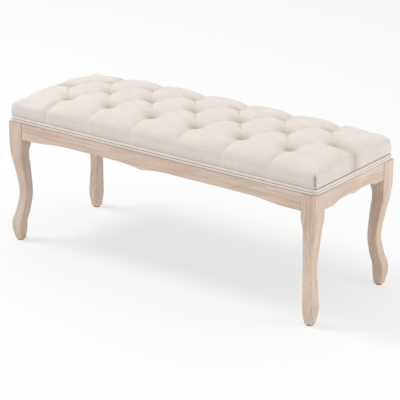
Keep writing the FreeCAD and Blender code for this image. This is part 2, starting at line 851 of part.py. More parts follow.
def cushion_section(x, inset, floor, phase, depth_cut, share):
    """Section of the tufted form across the bench at x.

    phase is 0 at a tuft of the middle row and 1 at one of the outer rows, where the pleats
    are. depth_cut narrows the section at the rounded corners. share scales its height, for
    the rounding of the two ends. inset is how far the form lies inside the cover's face.
    """
    top = board_top().value
    half = D.bench_width.value / 2 - D.cover_inset.value - depth_cut - inset
    pull = D.valley_depth.value * phase ** 2
    swell = D.side_swell.value * (1 - phase ** 2)
    shoulder = D.shoulder_radius.value

    def level(height):
        return top + (height - inset) * share

    def between(low, high, part):
        return low + (high - low) * part

    spread = row_spacing().value * phase
    side_top = level(D.side_height.value)
    rim = level(between(D.shoulder_height.value, D.valley_height.value, phase ** 2))
    fold = level(between(D.tuft_height.value, D.fold_height.value, 4 * phase * (1 - phase)))
    pleat_level = D.valley_height.value - D.pleat_dip.value
    panel = level(between(D.panel_crown.value, pleat_level, phase ** 2))
    crown_rise = (D.diamond_crown.value - D.tuft_height.value) * math.sin(phase * math.pi / 2)
    crown = level(D.tuft_height.value + crown_rise)
    outer = half - pull
    rim_y = outer - shoulder * SHOULDER_SHARE
    panel_y = between(rim_y, spread, 0.5)
    bend = math.sqrt(0.5)
    knee_y = rim_y + (outer - rim_y) * bend
    knee_z = side_top + (rim - side_top) * bend
    side_y = outer + swell
    side_z = between(floor, side_top, 0.5)
    edges = [
        arc_through((x, -half, floor), (x, -side_y, side_z), (x, -outer, side_top)),
        arc_through((x, -outer, side_top), (x, -knee_y, knee_z), (x, -rim_y, rim)),
        arc_through((x, -rim_y, rim), (x, -panel_y, panel), (x, -spread, fold)),
        arc_through((x, -spread, fold), (x, 0, crown), (x, spread, fold)),
        arc_through((x, spread, fold), (x, panel_y, panel), (x, rim_y, rim)),
        arc_through((x, rim_y, rim), (x, knee_y, knee_z), (x, outer, side_top)),
        arc_through((x, outer, side_top), (x, side_y, side_z), (x, half, floor)),
        line((x, half, floor), (x, -half, floor)),
    ]
    return Part.Wire(edges)


def end_stations(inset):
    """Stations of the rounded end: distance from the end, and the height's share there."""
    radius = D.shoulder_radius.value - inset
    rise = D.shoulder_height.value - inset
    stations = []
    for step in END_STEPS:
        back = radius * step
        drop = radius - math.sqrt(radius ** 2 - (radius - back) ** 2)
        stations.append((back, 1 - drop / rise))
    return stations


def corner_cut(back, inset):
    """How much the seat's rounded corner narrows a section at a distance from the end."""
    radius = D.corner_radius.value - inset
    if back >= radius:
        return 0.0
    return radius - math.sqrt(radius ** 2 - (radius - back) ** 2)


def tufted_form(inset, floor):
    """Closed tufted form of the cushion, at an inset inside the cover's outer face."""
    pitch = tuft_pitch().value
    end = D.bench_length.value / 2 - D.cover_inset.value - inset
    faces = []

    def skin(sections, ruled):
        loft = Part.makeLoft(sections, False, ruled)
        faces.extend(loft.Faces)

    def whole(x, phase):
        return cushion_section(x, inset, floor, phase, 0.0, 1.0)

    for column in range(OUTER_TUFTS - 1):
        start = (column - (OUTER_TUFTS - 1) / 2) * pitch
        sections = []
        for index, phase in enumerate(PLEAT_PHASES):
            sections.append(whole(start + pitch * index / (len(PLEAT_PHASES) - 1), phase))
        skin(sections, False)
    last_outer = (OUTER_TUFTS - 1) / 2 * pitch
    half_count = len(PLEAT_PHASES) // 2
    calm = PLEAT_PHASES[half_count]
    for side in (LEFT, RIGHT):
        run = []
        for index in range(half_count + 1):
            across = last_outer + pitch / 2 * index / half_count
            run.append(whole(side * across, PLEAT_PHASES[index]))
        rounding = end_stations(inset)
        run.append(whole(side * (end - rounding[0][0]), calm))
        skin(run, False)
        rounded = [run[-1]]
        for back, share in rounding[1:]:
            narrow = corner_cut(back, inset)
            rounded.append(cushion_section(side * (end - back), inset, floor, calm, narrow, share))
        skin(rounded, True)
        faces.append(Part.Face(rounded[-1]))
    shell = Part.makeShell(faces)
    shell.sewShape()
    solid = Part.Solid(Part.Shell(shell.Faces))
    if solid.Volume < 0:
        solid.reverse()
    return solid


def tuft_cups(inset):
    """Cylinders that clear the tufts for their buttons, at an inset inside the cover's face."""
    low = board_top().value + D.tuft_height.value - inset - D.button_height.value / 2
    radius = D.button_diameter.value / 2 + D.soft_gap.value + inset
    tall = D.diamond_crown.value
    cups = []
    for x, y in tuft_points():
        cups.append(Part.makeCylinder(radius, tall, Vector(x.value, y.value, low)))
    return Part.makeCompound(cups)


def cushion_body(low, floor):
    """Cover's outer form: the tufts with their cups, above a skirt down the board's edge."""
    form = tufted_form(0.0, floor).cut(tuft_cups(0.0))
    edge = board_inset() - D.soft_gap - D.cover_thickness
    skirt = plan_prism(edge, low, floor + D.cover_thickness.value)
    return form.fuse(skirt)


def make_cover_and_foam():
    """Cover as a shell over the foam and down the board's edge; foam glued on the board."""
    thick = D.cover_thickness.value
    gap = D.soft_gap.value
    top = board_top().value
    ledge = top - thick
    outer = cushion_body(D.frame_height.value + gap, ledge)
    inner_form = tufted_form(thick, top).cut(tuft_cups(thick))
    lining = inner_form.Shells[0].copy()
    lining.reverse()
    hollow = Part.Solid(Part.makeCompound([outer.Shells[0], lining]))
    room = plan_prism(board_inset() - D.soft_gap, D.frame_height.value, top + thick)
    cover = hollow.cut(room)
    twines = []
    for x, y in tuft_points():
        radius = D.twine_hole.value / 2
        twines.append(Part.makeCylinder(radius, 3 * top, Vector(x.value, y.value, 0)))
    holes = Part.makeCompound(twines)
    DOC.recompute()
    finish(shaped("seat_cover", cover.cut(holes).cut(COVER_STAPLES.Shape)), "seat_cover")
    foam = tufted_form(thick + gap, top).cut(tuft_cups(thick + gap)).cut(holes)
    finish(shaped("seat_foam", foam), "seat_foam")


def cup_floor():
    """Level on which a tuft button sits."""
    return board_top() + D.tuft_height - D.button_height / 2


def make_tufting():
    """Buttons in the tufts, twine through foam and board, and a back button on each twine."""
    rows = {"front": [], "middle": [], "back": []}
    twines = []
    backs = []
    base = D.frame_height - D.back_button_thickness
    for index, (x, y) in enumerate(tuft_points()):
        brim = D.button_height / 2
        disc = cylinder("button_disc_%d" % index, D.button_diameter, brim, (x, y, cup_floor()))
        dome = cone(
            "button_dome_%d" % index, D.button_diameter, D.button_diameter / 2, brim,
            (x, y, cup_floor() + brim))
        row = "middle" if abs(number(y)) < 1 else ("front" if number(y) < 0 else "back")
        rows[row].append(fuse("button_%d" % index, [disc, dome]))
        twines.append(cylinder(
            "twine_%d" % index, D.twine_diameter, cup_floor() - D.frame_height,
            (x, y, D.frame_height)))
        backs.append(cylinder(
            "back_button_%d" % index, D.back_button_diameter, D.back_button_thickness,
            (x, y, base)))
    for row, members in rows.items():
        finish(group("tuft_buttons_" + row, members), "tuft_buttons_" + row)
    finish(group("tufting_twine", twines), "tufting_twine")
    finish(group("back_buttons", backs), "back_buttons")


def bead_ring(diameter, level):
    """Ring of round section along the seat's plan, at a given level."""
    inset = D.bead_inset.value + D.bead_diameter.value / 2
    half_x, half_y = half_plan(inset)
    radius = D.corner_radius.value + D.cover_inset.value - inset
    path = rounded_wire(-half_x, half_x, -half_y, half_y, level, radius)
    start = Vector(-half_x + radius, -half_y, level)
    circle = Part.Wire(Part.makeCircle(diameter / 2, start, Vector(1, 0, 0)))
    return path.makePipeShell([circle], True, False)


def make_welt():
    """Double welt: two cords in one strip of fabric, glued round the board's edge."""
    diameter = D.bead_diameter.value
    lower = D.frame_height.value + D.soft_gap.value + diameter / 2
    levels = {"lower": lower, "upper": lower + diameter}
    cord = diameter - 2 * D.welt_fabric.value
    strip = None
    cores = []
    for name, level in levels.items():
        ring = bead_ring(diameter, level)
        strip = ring if strip is None else strip.fuse(ring)
        cores.append(bead_ring(cord, level))
        loose = bead_ring(cord - D.soft_gap.value, level)
        finish(shaped("welt_cord_" + name, loose), "welt_cord_" + name)
    inner = D.bead_inset.value + diameter
    outer = D.bead_inset.value + diameter / 2
    middle = lower + diameter / 2
    web = D.welt_web.value / 2
    ring = plan_prism(outer, middle - web, middle + web).cut(
        plan_prism(inner, middle - web, middle + web))
    strip = strip.fuse(ring)
    for core in cores:
        strip = strip.cut(core)
    finish(shaped("double_welt", strip), "double_welt")


def staple(name, at, normal, across):
    """Staple pressed flat: crown on the surface at a point, legs along the normal."""
    wire = D.staple_wire
    half = D.staple_crown / 2
    deep = D.staple_leg + wire

    def bar(key, reach_across, reach_normal, start_across, start_normal):
        spans = []
        corner = []
        for axis in range(3):
            along_axis = across[axis]
            into_axis = normal[axis]
            if along_axis:
                spans.append(reach_across)
                corner.append(at[axis] + start_across)
            elif into_axis:
                spans.append(reach_normal)
                low = start_normal if into_axis > 0 else -(start_normal + reach_normal)
                corner.append(at[axis] + low)
            else:
                spans.append(wire)
                corner.append(at[axis] - wire / 2)
        return box(name + key, spans[0], spans[1], spans[2], corner)

    parts = [bar("_crown", D.staple_crown, wire, -half, -wire)]
    parts.append(bar("_left", wire, deep, -half, -wire))
    parts.append(bar("_right", wire, deep, half - wire, -wire))
    return fuse(name, parts)


def staple_row(first, last, pitch):
    """Evenly spread positions from first to last, about a pitch apart."""
    count = max(2, int(round((number(last) - number(first)) / number(pitch))) + 1)
    return [first + (last - first) * (index / (count - 1)) for index in range(count)]


def cover_staple_places():
    """Where each cover staple sits, the way into the board, and the way along it."""
    face = board_inset() - D.soft_gap - D.cover_thickness
    web_foot = D.frame_height + D.soft_gap + D.bead_diameter - D.welt_web / 2
    level = web_foot - D.staple_slack - D.staple_wire / 2
    half_x = D.bench_length / 2 - face
    half_y = D.bench_width / 2 - face
    end_x = half_x - D.corner_radius * 2
    end_y = half_y - D.corner_radius * 2
    places = []
    for row in (FRONT, BACK):
        for x in staple_row(-end_x, end_x, D.staple_pitch):
            places.append(((x, half_y * row, level), (0, -row, 0), (1, 0, 0)))
    for side in (LEFT, RIGHT):
        for y in staple_row(-end_y, end_y, D.staple_pitch):
            places.append(((half_x * side, y, level), (-side, 0, 0), (0, 1, 0)))
    return places


def cover_staples():
    staples = []
    for index, (at, normal, across) in enumerate(cover_staple_places()):
        staples.append(staple("cover_staple_%d" % index, at, normal, across))
    return group("cover_staples", staples)


def dust_level():
    """Under face of the dust cloth."""
    return D.frame_height - D.block_height - D.dust_cloth


def dust_staples():
    """Staples through the dust cloth, into each corner block and along each brace."""
    staples = []
    up = (0, 0, 1)
    arm = block_arm()
    brace_y = inner_half_y() - arm * BRACE_STAPLE_SHARE
    block_x = inner_half_x() - arm * BLOCK_STAPLE_ALONG
    block_y = inner_half_y() - arm * BLOCK_STAPLE_ACROSS
    for side in (LEFT, RIGHT):
        for row in (FRONT, BACK):
            key = "dust_staple_block_%s_%s" % (ROW_NAMES[row], SIDE_NAMES[side])
            at = (block_x * side, block_y * row, dust_level())
            staples.append(staple(key, at, up, (1, 0, 0)))
        for row in (FRONT, 0, BACK):
            key = "dust_staple_brace_%s_%d" % (SIDE_NAMES[side], row + 1)
            at = (brace_x(side), brace_y * row, dust_level())
            staples.append(staple(key, at, up, (1, 0, 0)))
    return group("dust_cloth_staples", staples)


def make_dust_cloth():
    """Black cloth under the braces and blocks."""
    level = dust_level()
    inner_x = inner_half_x() - D.dust_gap
    inner_y = inner_half_y() - D.dust_gap
    sheet = box(
        "dust_sheet", inner_x * 2, inner_y * 2, D.dust_cloth, (-inner_x, -inner_y, level))
    notch = post_notch()
    notches = []
    for side in (LEFT, RIGHT):
        for row in (FRONT, BACK):
            corner_x = inner_x - notch if side == RIGHT else -inner_x
            corner_y = inner_y - notch if row == BACK else -inner_y
            notches.append(box(
                "dust_notch_%s_%s" % (ROW_NAMES[row], SIDE_NAMES[side]), notch, notch,
                D.dust_cloth * 3, (corner_x, corner_y, level - D.dust_cloth)))
    notches.append(DUST_STAPLES)
    finish(cut("dust_cloth", sheet, group("dust_notches", notches)), "dust_cloth")


DOC = FreeCAD.newDocument("bench")
PARTS = []
D = make_sheet(DOC)
COVER_STAPLES = cover_staples()
DUST_STAPLES = dust_staples()


def main():
    for side in (LEFT, RIGHT):
        for row in (FRONT, BACK):
            make_leg(side, row)
    make_rails()
    make_corner_blocks()
    make_braces()
    make_frame_screws()
    make_glides()
    make_board()
    make_cover_and_foam()
    make_tufting()
    make_welt()
    make_dust_cloth()
    finish(COVER_STAPLES, "cover_staples")
    finish(DUST_STAPLES, "dust_cloth_staples")


def write_parts():
    """Check every object and write each sub-part under its own name."""
    DOC.recompute()
    for piece in DOC.Objects:
        faults = [state for state in piece.State if state in ("Invalid", "Error")]
        if faults:
            raise RuntimeError("%s is %s" % (piece.Label, faults))
    for piece in PARTS:
        if piece.Shape.isNull() or not piece.Shape.isValid():
            raise RuntimeError(piece.Label + " has no sound shape")
        print("%-28s solids %3d faces %4d volume %.0f" % (
            piece.Label, len(piece.Shape.Solids), len(piece.Shape.Faces), piece.Shape.Volume))
    os.makedirs("parts", exist_ok=True)
    for piece in PARTS:
        piece.Shape.exportStep("parts/%s.step" % piece.Label)


main()
write_parts()
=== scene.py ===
"""Looks of a tufted bench: cushion, welt, buttons, dust cloth, finishes and studio.

Metres, with X along the bench, the front at -Y and Z up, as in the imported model.
"""
import math

import bpy
import numpy as np
from bpy.props import FloatProperty, FloatVectorProperty, IntProperty, PointerProperty
from mathutils import Euler, Matrix, Vector


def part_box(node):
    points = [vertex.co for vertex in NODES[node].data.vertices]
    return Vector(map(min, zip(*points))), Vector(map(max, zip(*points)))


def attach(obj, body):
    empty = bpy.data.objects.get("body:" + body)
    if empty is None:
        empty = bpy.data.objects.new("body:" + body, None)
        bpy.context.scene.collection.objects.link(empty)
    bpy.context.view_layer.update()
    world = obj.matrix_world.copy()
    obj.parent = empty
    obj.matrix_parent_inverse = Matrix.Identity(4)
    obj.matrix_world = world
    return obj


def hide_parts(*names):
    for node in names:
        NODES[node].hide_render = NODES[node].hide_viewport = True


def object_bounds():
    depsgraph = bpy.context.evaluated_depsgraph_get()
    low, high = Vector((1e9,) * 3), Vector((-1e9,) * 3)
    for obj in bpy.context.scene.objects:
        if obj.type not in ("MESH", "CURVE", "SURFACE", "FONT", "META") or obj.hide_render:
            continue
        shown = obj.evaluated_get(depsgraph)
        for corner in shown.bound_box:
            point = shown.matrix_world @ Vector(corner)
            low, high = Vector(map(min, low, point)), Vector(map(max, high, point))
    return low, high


bl_info = {
    "name": "Tufted Bench",
    "version": (1, 0, 0),
    "blender": (4, 5, 0),
    "location": "3D View > Sidebar > Bench",
    "description": "Upholstery, wood finishes and studio for a tufted bench",
    "category": "Object",
}

MM = 0.001

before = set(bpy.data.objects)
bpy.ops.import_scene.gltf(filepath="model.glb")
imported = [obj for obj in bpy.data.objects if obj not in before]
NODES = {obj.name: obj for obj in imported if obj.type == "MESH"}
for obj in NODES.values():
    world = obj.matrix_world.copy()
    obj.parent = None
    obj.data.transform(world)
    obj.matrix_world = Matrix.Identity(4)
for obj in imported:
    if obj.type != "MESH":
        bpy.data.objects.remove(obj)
FRAME_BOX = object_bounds()

# Sizes read off the frame
COVER_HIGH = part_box("seat_cover")[1]
BOARD_LOW, BOARD_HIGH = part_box("seat_board")
WELT_LOW, WELT_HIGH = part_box("double_welt")
MIDDLE_BUTTONS_LOW, MIDDLE_BUTTONS_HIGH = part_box("tuft_buttons_middle")
TWINE_LOW, TWINE_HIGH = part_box("tufting_twine")
DUST_LOW, DUST_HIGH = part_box("dust_cloth")
LEG_LOW, LEG_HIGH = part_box("leg_back_right")
BUTTON_RADIUS = (MIDDLE_BUTTONS_HIGH.y - MIDDLE_BUTTONS_LOW.y) / 2
MIDDLE_TUFTS = 7
TUFT_PITCH = (MIDDLE_BUTTONS_HIGH.x - BUTTON_RADIUS) / ((MIDDLE_TUFTS - 1) / 2)
ROW_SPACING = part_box("tuft_buttons_back")[1].y - BUTTON_RADIUS
RAIL_TOP = LEG_HIGH.z
TENON = 22 * MM  # length of a rail's tenon, hidden in the post


def tuft_centres():
    """Plan position of every tuft, the outer rows staggered by half a pitch."""
    rows = ((-1, MIDDLE_TUFTS - 1), (0, MIDDLE_TUFTS), (1, MIDDLE_TUFTS - 1))
    return [
        ((index - (count - 1) / 2) * TUFT_PITCH, row * ROW_SPACING)
        for row, count in rows for index in range(count)]


# Sizes and colours that a user would change

def number(name, text, default, **more):
    return FloatProperty(name=name, description=text, default=default, **more)


def length(name, text, default):
    return number(name, text, default, unit="LENGTH", precision=4)


def degrees(name, text, default):
    return number(name, text, math.radians(default), subtype="ANGLE")


def colour(name, text, default):
    return FloatVectorProperty(
        name=name, description=text, default=default, subtype="COLOR", size=3, min=0, max=1)


class BenchCushionSettings(bpy.types.PropertyGroup):
    shoulder: length("Shoulder", "Rounding of the upper edge in plan", 56 * MM)
    side_height: length("Side height", "Upright side from the welt to the shoulder", 27 * MM)
    swell: length("Swell", "How far the upright side bulges", 1.6 * MM)
    inset: length("Inset", "Side of the cushion inside the frame's cover", 2.5 * MM)
    corner: length("Corner", "Corner radius in plan", 14 * MM)
    crown_fall: length("Crown fall", "How far the top falls towards the long edges", 15 * MM)
    left_fall: length("Left fall", "How far the top falls towards the left end", 18 * MM)
    left_reach: length("Left reach", "Length over which the left end falls", 250 * MM)
    right_fall: length("Right fall", "How far the top falls towards the right end", 9 * MM)
    right_reach: length("Right reach", "Length over which the right end falls", 130 * MM)
    tuft_depth: length("Tuft depth", "Depth of the tufts below the crown", 37 * MM)
    fold_depth: length("Fold depth", "Depth of a fold half way between tufts", 11 * MM)
    hollow: length("Hollow", "Reach of the hollow round a tuft", 32 * MM)
    funnel: length("Funnel", "Reach of the steep middle of a hollow", 11 * MM)
    ridge_depth: length("Ridge depth", "Depth of a pleat between tuft and shoulder", 14 * MM)
    shoulder_depth: length("Shoulder depth", "Depth of a pleat where the shoulder begins", 16 * MM)
    pleat_depth: length("Pleat depth", "Depth of a pleat down the side", 3.5 * MM)
    lap: length("Lap", "How far a pleat's right side laps over its left", 9 * MM)
    seam_depth: length("Seam depth", "Depth of the corner seams", 5 * MM)
    gather: length("Gather", "Height of the small gathers round a tuft", 1.3 * MM)
    crease: length("Crease", "Depth of the sharp crease in a fold", 1.6 * MM)
    squareness: number("Squareness", "Squareness of the shoulder; 2 is round", 2.15, min=1.5)
    ear: number("Ear", "Extra squareness of the shoulder at the corners", 0.5, min=0)
    roundness: number("Roundness", "Power of a puff's rise on top; half is round", 1.1, min=0.3)
    side_roundness: number("Side roundness", "Power of a puff's rise down the side", 0.75, min=0.3)
    lean: number("Lean", "How much steeper a pleat is on its right", 0.6, min=0)
    seed: IntProperty(name="Seed", description="Places the gathers", default=7, min=0)


class BenchLinenSettings(bpy.types.PropertyGroup):
    linen: colour("Linen", "Colour of the seat's linen", (0.735, 0.683, 0.627))
    thread: length("Thread", "Width of one thread of the weave", 0.7 * MM)
    button_height: length("Button height", "Height of a covered button", 5 * MM)
    dust_sag: length("Dust cloth sag", "Sag of the dust cloth between its fixings", 3 * MM)


class BenchWoodSettings(bpy.types.PropertyGroup):
    pale: colour("Pale wood", "Bleached wood between the pores", (0.75, 0.605, 0.50))
    deep: colour("Deep wood", "Darker growth of the bleached wood", (0.575, 0.43, 0.33))
    block: colour("Block wood", "Softwood of the blocks and braces", (0.62, 0.47, 0.30))
    glue_line: length("Glue line", "Joint of the rails' two boards below their top", 27 * MM)


class BenchStudioSettings(bpy.types.PropertyGroup):
    azimuth: degrees("Azimuth", "Camera's turn to the right of the front", 36.42)
    elevation: degrees("Elevation", "Camera's height above the horizon", 20.13)
    roll: degrees("Roll", "Camera's roll", 0.45)
    distance: length("Distance", "Camera from the point that it aims at", 5.2981)
    aim_height: length("Aim height", "Height of that point above the floor", 0.2254)
    aside: length("Aside", "Camera moved to its right", 14.38 * MM)
    upward: length("Upward", "Camera moved up its own frame", -30.1 * MM)
    lens: number("Lens", "Focal length, mm", 161.88)
    key: number("Key", "Power of the overhead softbox, W", 150.0)
    side: number("Side", "Power of the softbox on the right, W", 9.0)
    ambient: number("Ambient", "Strength of the room's light", 0.76)


# Node trees

class Wire:
    """An output socket whose arithmetic adds Math nodes."""

    def __init__(self, owner, socket):
        self.owner = owner
        self.socket = socket

    def math(self, operation, *others):
        return self.owner.node(
            "ShaderNodeMath", {"operation": operation}, dict(enumerate((self, *others))))

    def __add__(self, other):
        return self.math("ADD", other)

    __radd__ = __add__

    def __mul__(self, other):
        return self.math("MULTIPLY", other)

    __rmul__ = __mul__

    def __sub__(self, other):
        return self.math("SUBTRACT", other)

    def __rsub__(self, other):
        return self * -1 + other


class Tree:
    """A node tree whose nodes come from one method."""

    def node(self, kind, settings=None, inputs=None, output=0):
        """Add a node: its settings first, then the values or wires of its sockets."""
        made = self.tree.nodes.new(kind)
        for name, value in (settings or {}).items():
            setattr(made, name, value)
        for key, value in (inputs or {}).items():
            socket = made.inputs[key]
            if isinstance(value, Wire):
                self.tree.links.new(value.socket, socket)
            elif socket.type == "RGBA" and len(value) == 3:
                socket.default_value = (*value, 1.0)
            else:
                socket.default_value = value
        return Wire(self, made.outputs[output]) if made.outputs else made


class Finish(Tree):
    """The nodes that make one material or the world."""

    def __init__(self, name, kind="materials"):
        self.owner = getattr(bpy.data, kind).new(name)
        self.owner.use_nodes = True
        self.tree = self.owner.node_tree
        self.tree.nodes.clear()

    def place(self, scale=(1, 1, 1), turn=(0, 0, 0), source="Object"):
        """Coordinates of the piece, turned and then scaled."""
        found = self.node("ShaderNodeTexCoord", output=source)
        return self.node(
            "ShaderNodeMapping", {"vector_type": "TEXTURE"},
            {"Vector": found, "Scale": [1 / part for part in scale], "Rotation": turn})

    def noise(self, scale, detail=2.0, roughness=0.5, distortion=0.0, **place):
        """Noise on the piece, finer along an axis whose scale is larger."""
        return self.node("ShaderNodeTexNoise", inputs={
            "Vector": self.place(scale, **place), "Scale": 1.0, "Detail": detail,
            "Roughness": roughness, "Distortion": distortion})

    def axes(self, where):
        """The three parts of a coordinate."""
        split = self.node("ShaderNodeSeparateXYZ", inputs={"Vector": where})
        return [Wire(self, output) for output in split.socket.node.outputs]

    def band(self, value, low, high):
        """0 below low and 1 above high, smooth between."""
        return self.node(
            "ShaderNodeMapRange", {"interpolation_type": "SMOOTHSTEP"},
            {"Value": value, "From Min": low, "From Max": high, "To Min": 0.0, "To Max": 1.0})

    def blend(self, share, first, second):
        """Colour between two, by a share."""
        return self.node(
            "ShaderNodeMix", {"data_type": "RGBA"}, {0: share, 6: first, 7: second}, output=2)

    def surface(self, base_color, roughness, relief, depth, strength, **more):
        """Principled surface with a bump; an underscore in a name is a space in a socket's."""
        normal = self.node("ShaderNodeBump", inputs={
            "Height": relief, "Distance": depth, "Strength": strength})
        inputs = {"Base Color": base_color, "Roughness": roughness, "Normal": normal}
        inputs.update({name.replace("_", " "): value for name, value in more.items()})
        shader = self.node("ShaderNodeBsdfPrincipled", inputs=inputs)
        self.node("ShaderNodeOutputMaterial", inputs={"Surface": shader})
        return self.owner


def shade(base, factor):
    """A colour made lighter or darker."""
    return tuple(min(1.0, part * factor) for part in base)


# Finishes

PAINTED_SHADE_TINT = (0.70, 0.63, 0.57)  # painted shade: tint of the linen in a tuft's hollow and in a corner seam


def linen_finish(name, base, thread, turn=0.0, painted_shade=False):
    """Plain weave on the piece's own cloth coordinates, with slubs and uneven threads, and painted
    shade in the tufts and corner seams when asked.
    """
    finish = Finish(name)
    cloth = finish.place(turn=(0, 0, turn), source="UV")
    across, along, _ = finish.axes(cloth)
    phase = math.pi / thread
    warp = (across * phase).math("SINE")
    weft = (along * phase).math("SINE")
    over = finish.band(warp * weft, -0.2, 0.2)
    warp_round = warp.math("ABSOLUTE")
    weft_round = weft.math("ABSOLUTE")
    weave = over * warp_round + (1 - over) * weft_round
    warp_slub = finish.noise((900, 26, 1), turn=(0, 0, turn), source="UV")
    weft_slub = finish.noise((26, 900, 1), turn=(0, 0, turn), source="UV")
    mottle = finish.noise((30, 30, 30), detail=3)
    slubs = over * warp_slub + (1 - over) * weft_slub
    tone = slubs * 0.7 + mottle * 0.3
    base_colour = finish.blend(finish.band(tone, 0.3, 0.7), shade(base, 0.93), shade(base, 1.05))
    shown = finish.blend((1 - weave) * 0.16, base_colour, shade(base, 0.7))
    # painted shade: darker, warmer linen in the tufts' hollows and the corner seams
    if painted_shade:
        shade_mask = finish.node(
            "ShaderNodeAttribute", {"attribute_name": "painted_shade"}, output="Fac")
        dark = tuple(part * tint for part, tint in zip(base, PAINTED_SHADE_TINT))
        shown = finish.blend(shade_mask * 0.9, shown, dark)
    height = weave * 0.6 + slubs * 0.6
    return finish.surface(
        shown, 0.92, height, 0.25 * MM, 0.55,
        Sheen_Weight=0.18, Sheen_Roughness=0.5, Specular_IOR_Level=0.2)


def wood_finish(name, axis, pale, deep, glue_line=None, shoulder=None):
    """Bleached wood: long figure, fine fibres and short pores along one axis.

    A rail also shows the glue line between its boards, and painted shade in the gap where its
    shoulder meets the post.
    """
    finish = Finish(name)

    def grain(across, along, **more):
        scale = [along if letter == axis else across for letter in "xyz"]
        return finish.noise(scale, **more)

    figure = grain(34, 2.2, detail=3, distortion=0.6)
    fibres = grain(280, 12, detail=3, roughness=0.7)
    pores = grain(900, 28, detail=1)
    rings = grain(150, 4, distortion=0.5)
    blotch = finish.noise((9, 9, 9))
    tone = figure * 0.22 + fibres * 0.42 + rings * 0.26 + blotch * 0.10
    body = finish.blend(finish.band(tone, 0.36, 0.62), deep, pale)
    pore_mask = finish.band(pores, 0.60, 0.70)
    shown = finish.blend(pore_mask * 0.32, body, shade(deep, 0.62))
    if glue_line is not None:
        height = finish.axes(finish.place())[2]
        wobble = finish.noise((6, 6, 2), detail=1) * (1.6 * MM)
        offset = (height + wobble - glue_line - 0.8 * MM).math("ABSOLUTE")
        line = 1 - finish.band(offset, 0.2 * MM, 1.1 * MM)
        shown = finish.blend(line * 0.45, shown, shade(deep, 0.5))
    # painted shade: the rail darkens in the gap where its shoulder meets the post
    if shoulder is not None:
        along = finish.axes(finish.place())["xyz".index(axis)].math("ABSOLUTE")
        joint = finish.band(along, shoulder - 2.2 * MM, shoulder - 0.8 * MM)
        shown = finish.blend(joint * 0.65, shown, shade(deep, 0.35))
    relief = fibres * 0.6 - pore_mask * 0.8
    return finish.surface(
        shown, 0.55 + 0.2 * fibres, relief, 0.18 * MM, 0.6, Specular_IOR_Level=0.3)


PLIES = 9  # of the seat board


def plywood_finish(name, pale, deep, low, high):
    """Thin plies on the edges, long figure on the faces."""
    finish = Finish(name)
    height = finish.axes(finish.place())[2]
    ply = ((height - low) * (PLIES * math.pi / (high - low))).math("SINE")
    figure = finish.noise((2.4, 30, 30), detail=3, distortion=0.8)
    body = finish.blend(finish.band(figure, 0.35, 0.65), deep, pale)
    shown = finish.blend((1 - finish.band(ply, -0.2, 0.4)) * 0.3, body, shade(deep, 0.6))
    return finish.surface(shown, 0.7, figure, 0.2 * MM, 0.4)


def plastic_finish(name, base):
    """Moulded plastic with a fine grain."""
    finish = Finish(name)
    grain = finish.noise((2600, 2600, 2600), detail=1)
    cloud = finish.noise((60, 60, 60))
    shown = finish.blend(finish.band(cloud, 0.3, 0.7), shade(base, 0.9), shade(base, 1.1))
    return finish.surface(shown, 0.45 + 0.15 * grain, grain, 0.05 * MM, 0.4)


def steel_finish(name, base):
    """Plated steel with fine scratches."""
    finish = Finish(name)
    scratches = finish.noise((2400, 160, 2400))
    shown = finish.blend(finish.band(scratches, 0.3, 0.7), shade(base, 0.85), base)
    rough = 0.28 + 0.2 * scratches
    return finish.surface(shown, rough, scratches, 0.02 * MM, 0.4, Metallic=1.0)


def felted_finish(name, base):
    """Thin non-woven cloth of pressed fibres."""
    finish = Finish(name)
    first = finish.noise((1500, 90, 90), detail=3, distortion=1.2)
    second = finish.noise((90, 1500, 90), detail=3, distortion=1.2)
    fibres = first.math("MAXIMUM", second)
    shown = finish.blend(finish.band(fibres, 0.45, 0.75), base, shade(base, 2.2))
    return finish.surface(shown, 0.95, fibres, 0.15 * MM, 0.5)


def twisted_finish(name, base):
    """Twisted cotton, its plies slanting along the strand."""
    finish = Finish(name)
    fibres = finish.noise((1800, 1800, 500))
    shown = finish.blend(finish.band(fibres, 0.35, 0.65), shade(base, 0.8), base)
    return finish.surface(shown, 0.9, fibres, 0.1 * MM, 0.5)


# Meshes

def new_piece(name, points, faces, smooth=True):
    """A mesh object at the origin, linked to the scene."""
    mesh = bpy.data.meshes.new(name)
    mesh.from_pydata([tuple(point) for point in points], [], faces)
    mesh.update()
    if smooth:
        mesh.shade_smooth()
    piece = bpy.data.objects.new(name, mesh)
    bpy.context.scene.collection.objects.link(piece)
    return piece


def grid_faces(rows, columns):
    """Four-sided faces of a grid whose points lie row by row."""
    starts = [row * columns + column for row in range(rows - 1) for column in range(columns - 1)]
    return [(start, start + 1, start + columns + 1, start + columns) for start in starts]


def paint_cloth(piece, coordinates):
    """Cloth coordinates of each vertex, in metres, as the piece's own UV map."""
    layer = piece.data.uv_layers.new(name="cloth")
    corner_vertex = np.zeros(len(piece.data.loops), np.int32)
    piece.data.loops.foreach_get("vertex_index", corner_vertex)
    layer.data.foreach_set("uv", np.asarray(coordinates, np.float32)[corner_vertex].ravel())


def finished(piece, material, slot, *nodes):
    """Give a piece its finish, its body and the nodes that it stands for."""
    piece.data.materials.clear()
    piece.data.materials.append(material)
    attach(piece, "root")
    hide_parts(*nodes)


# Cushion

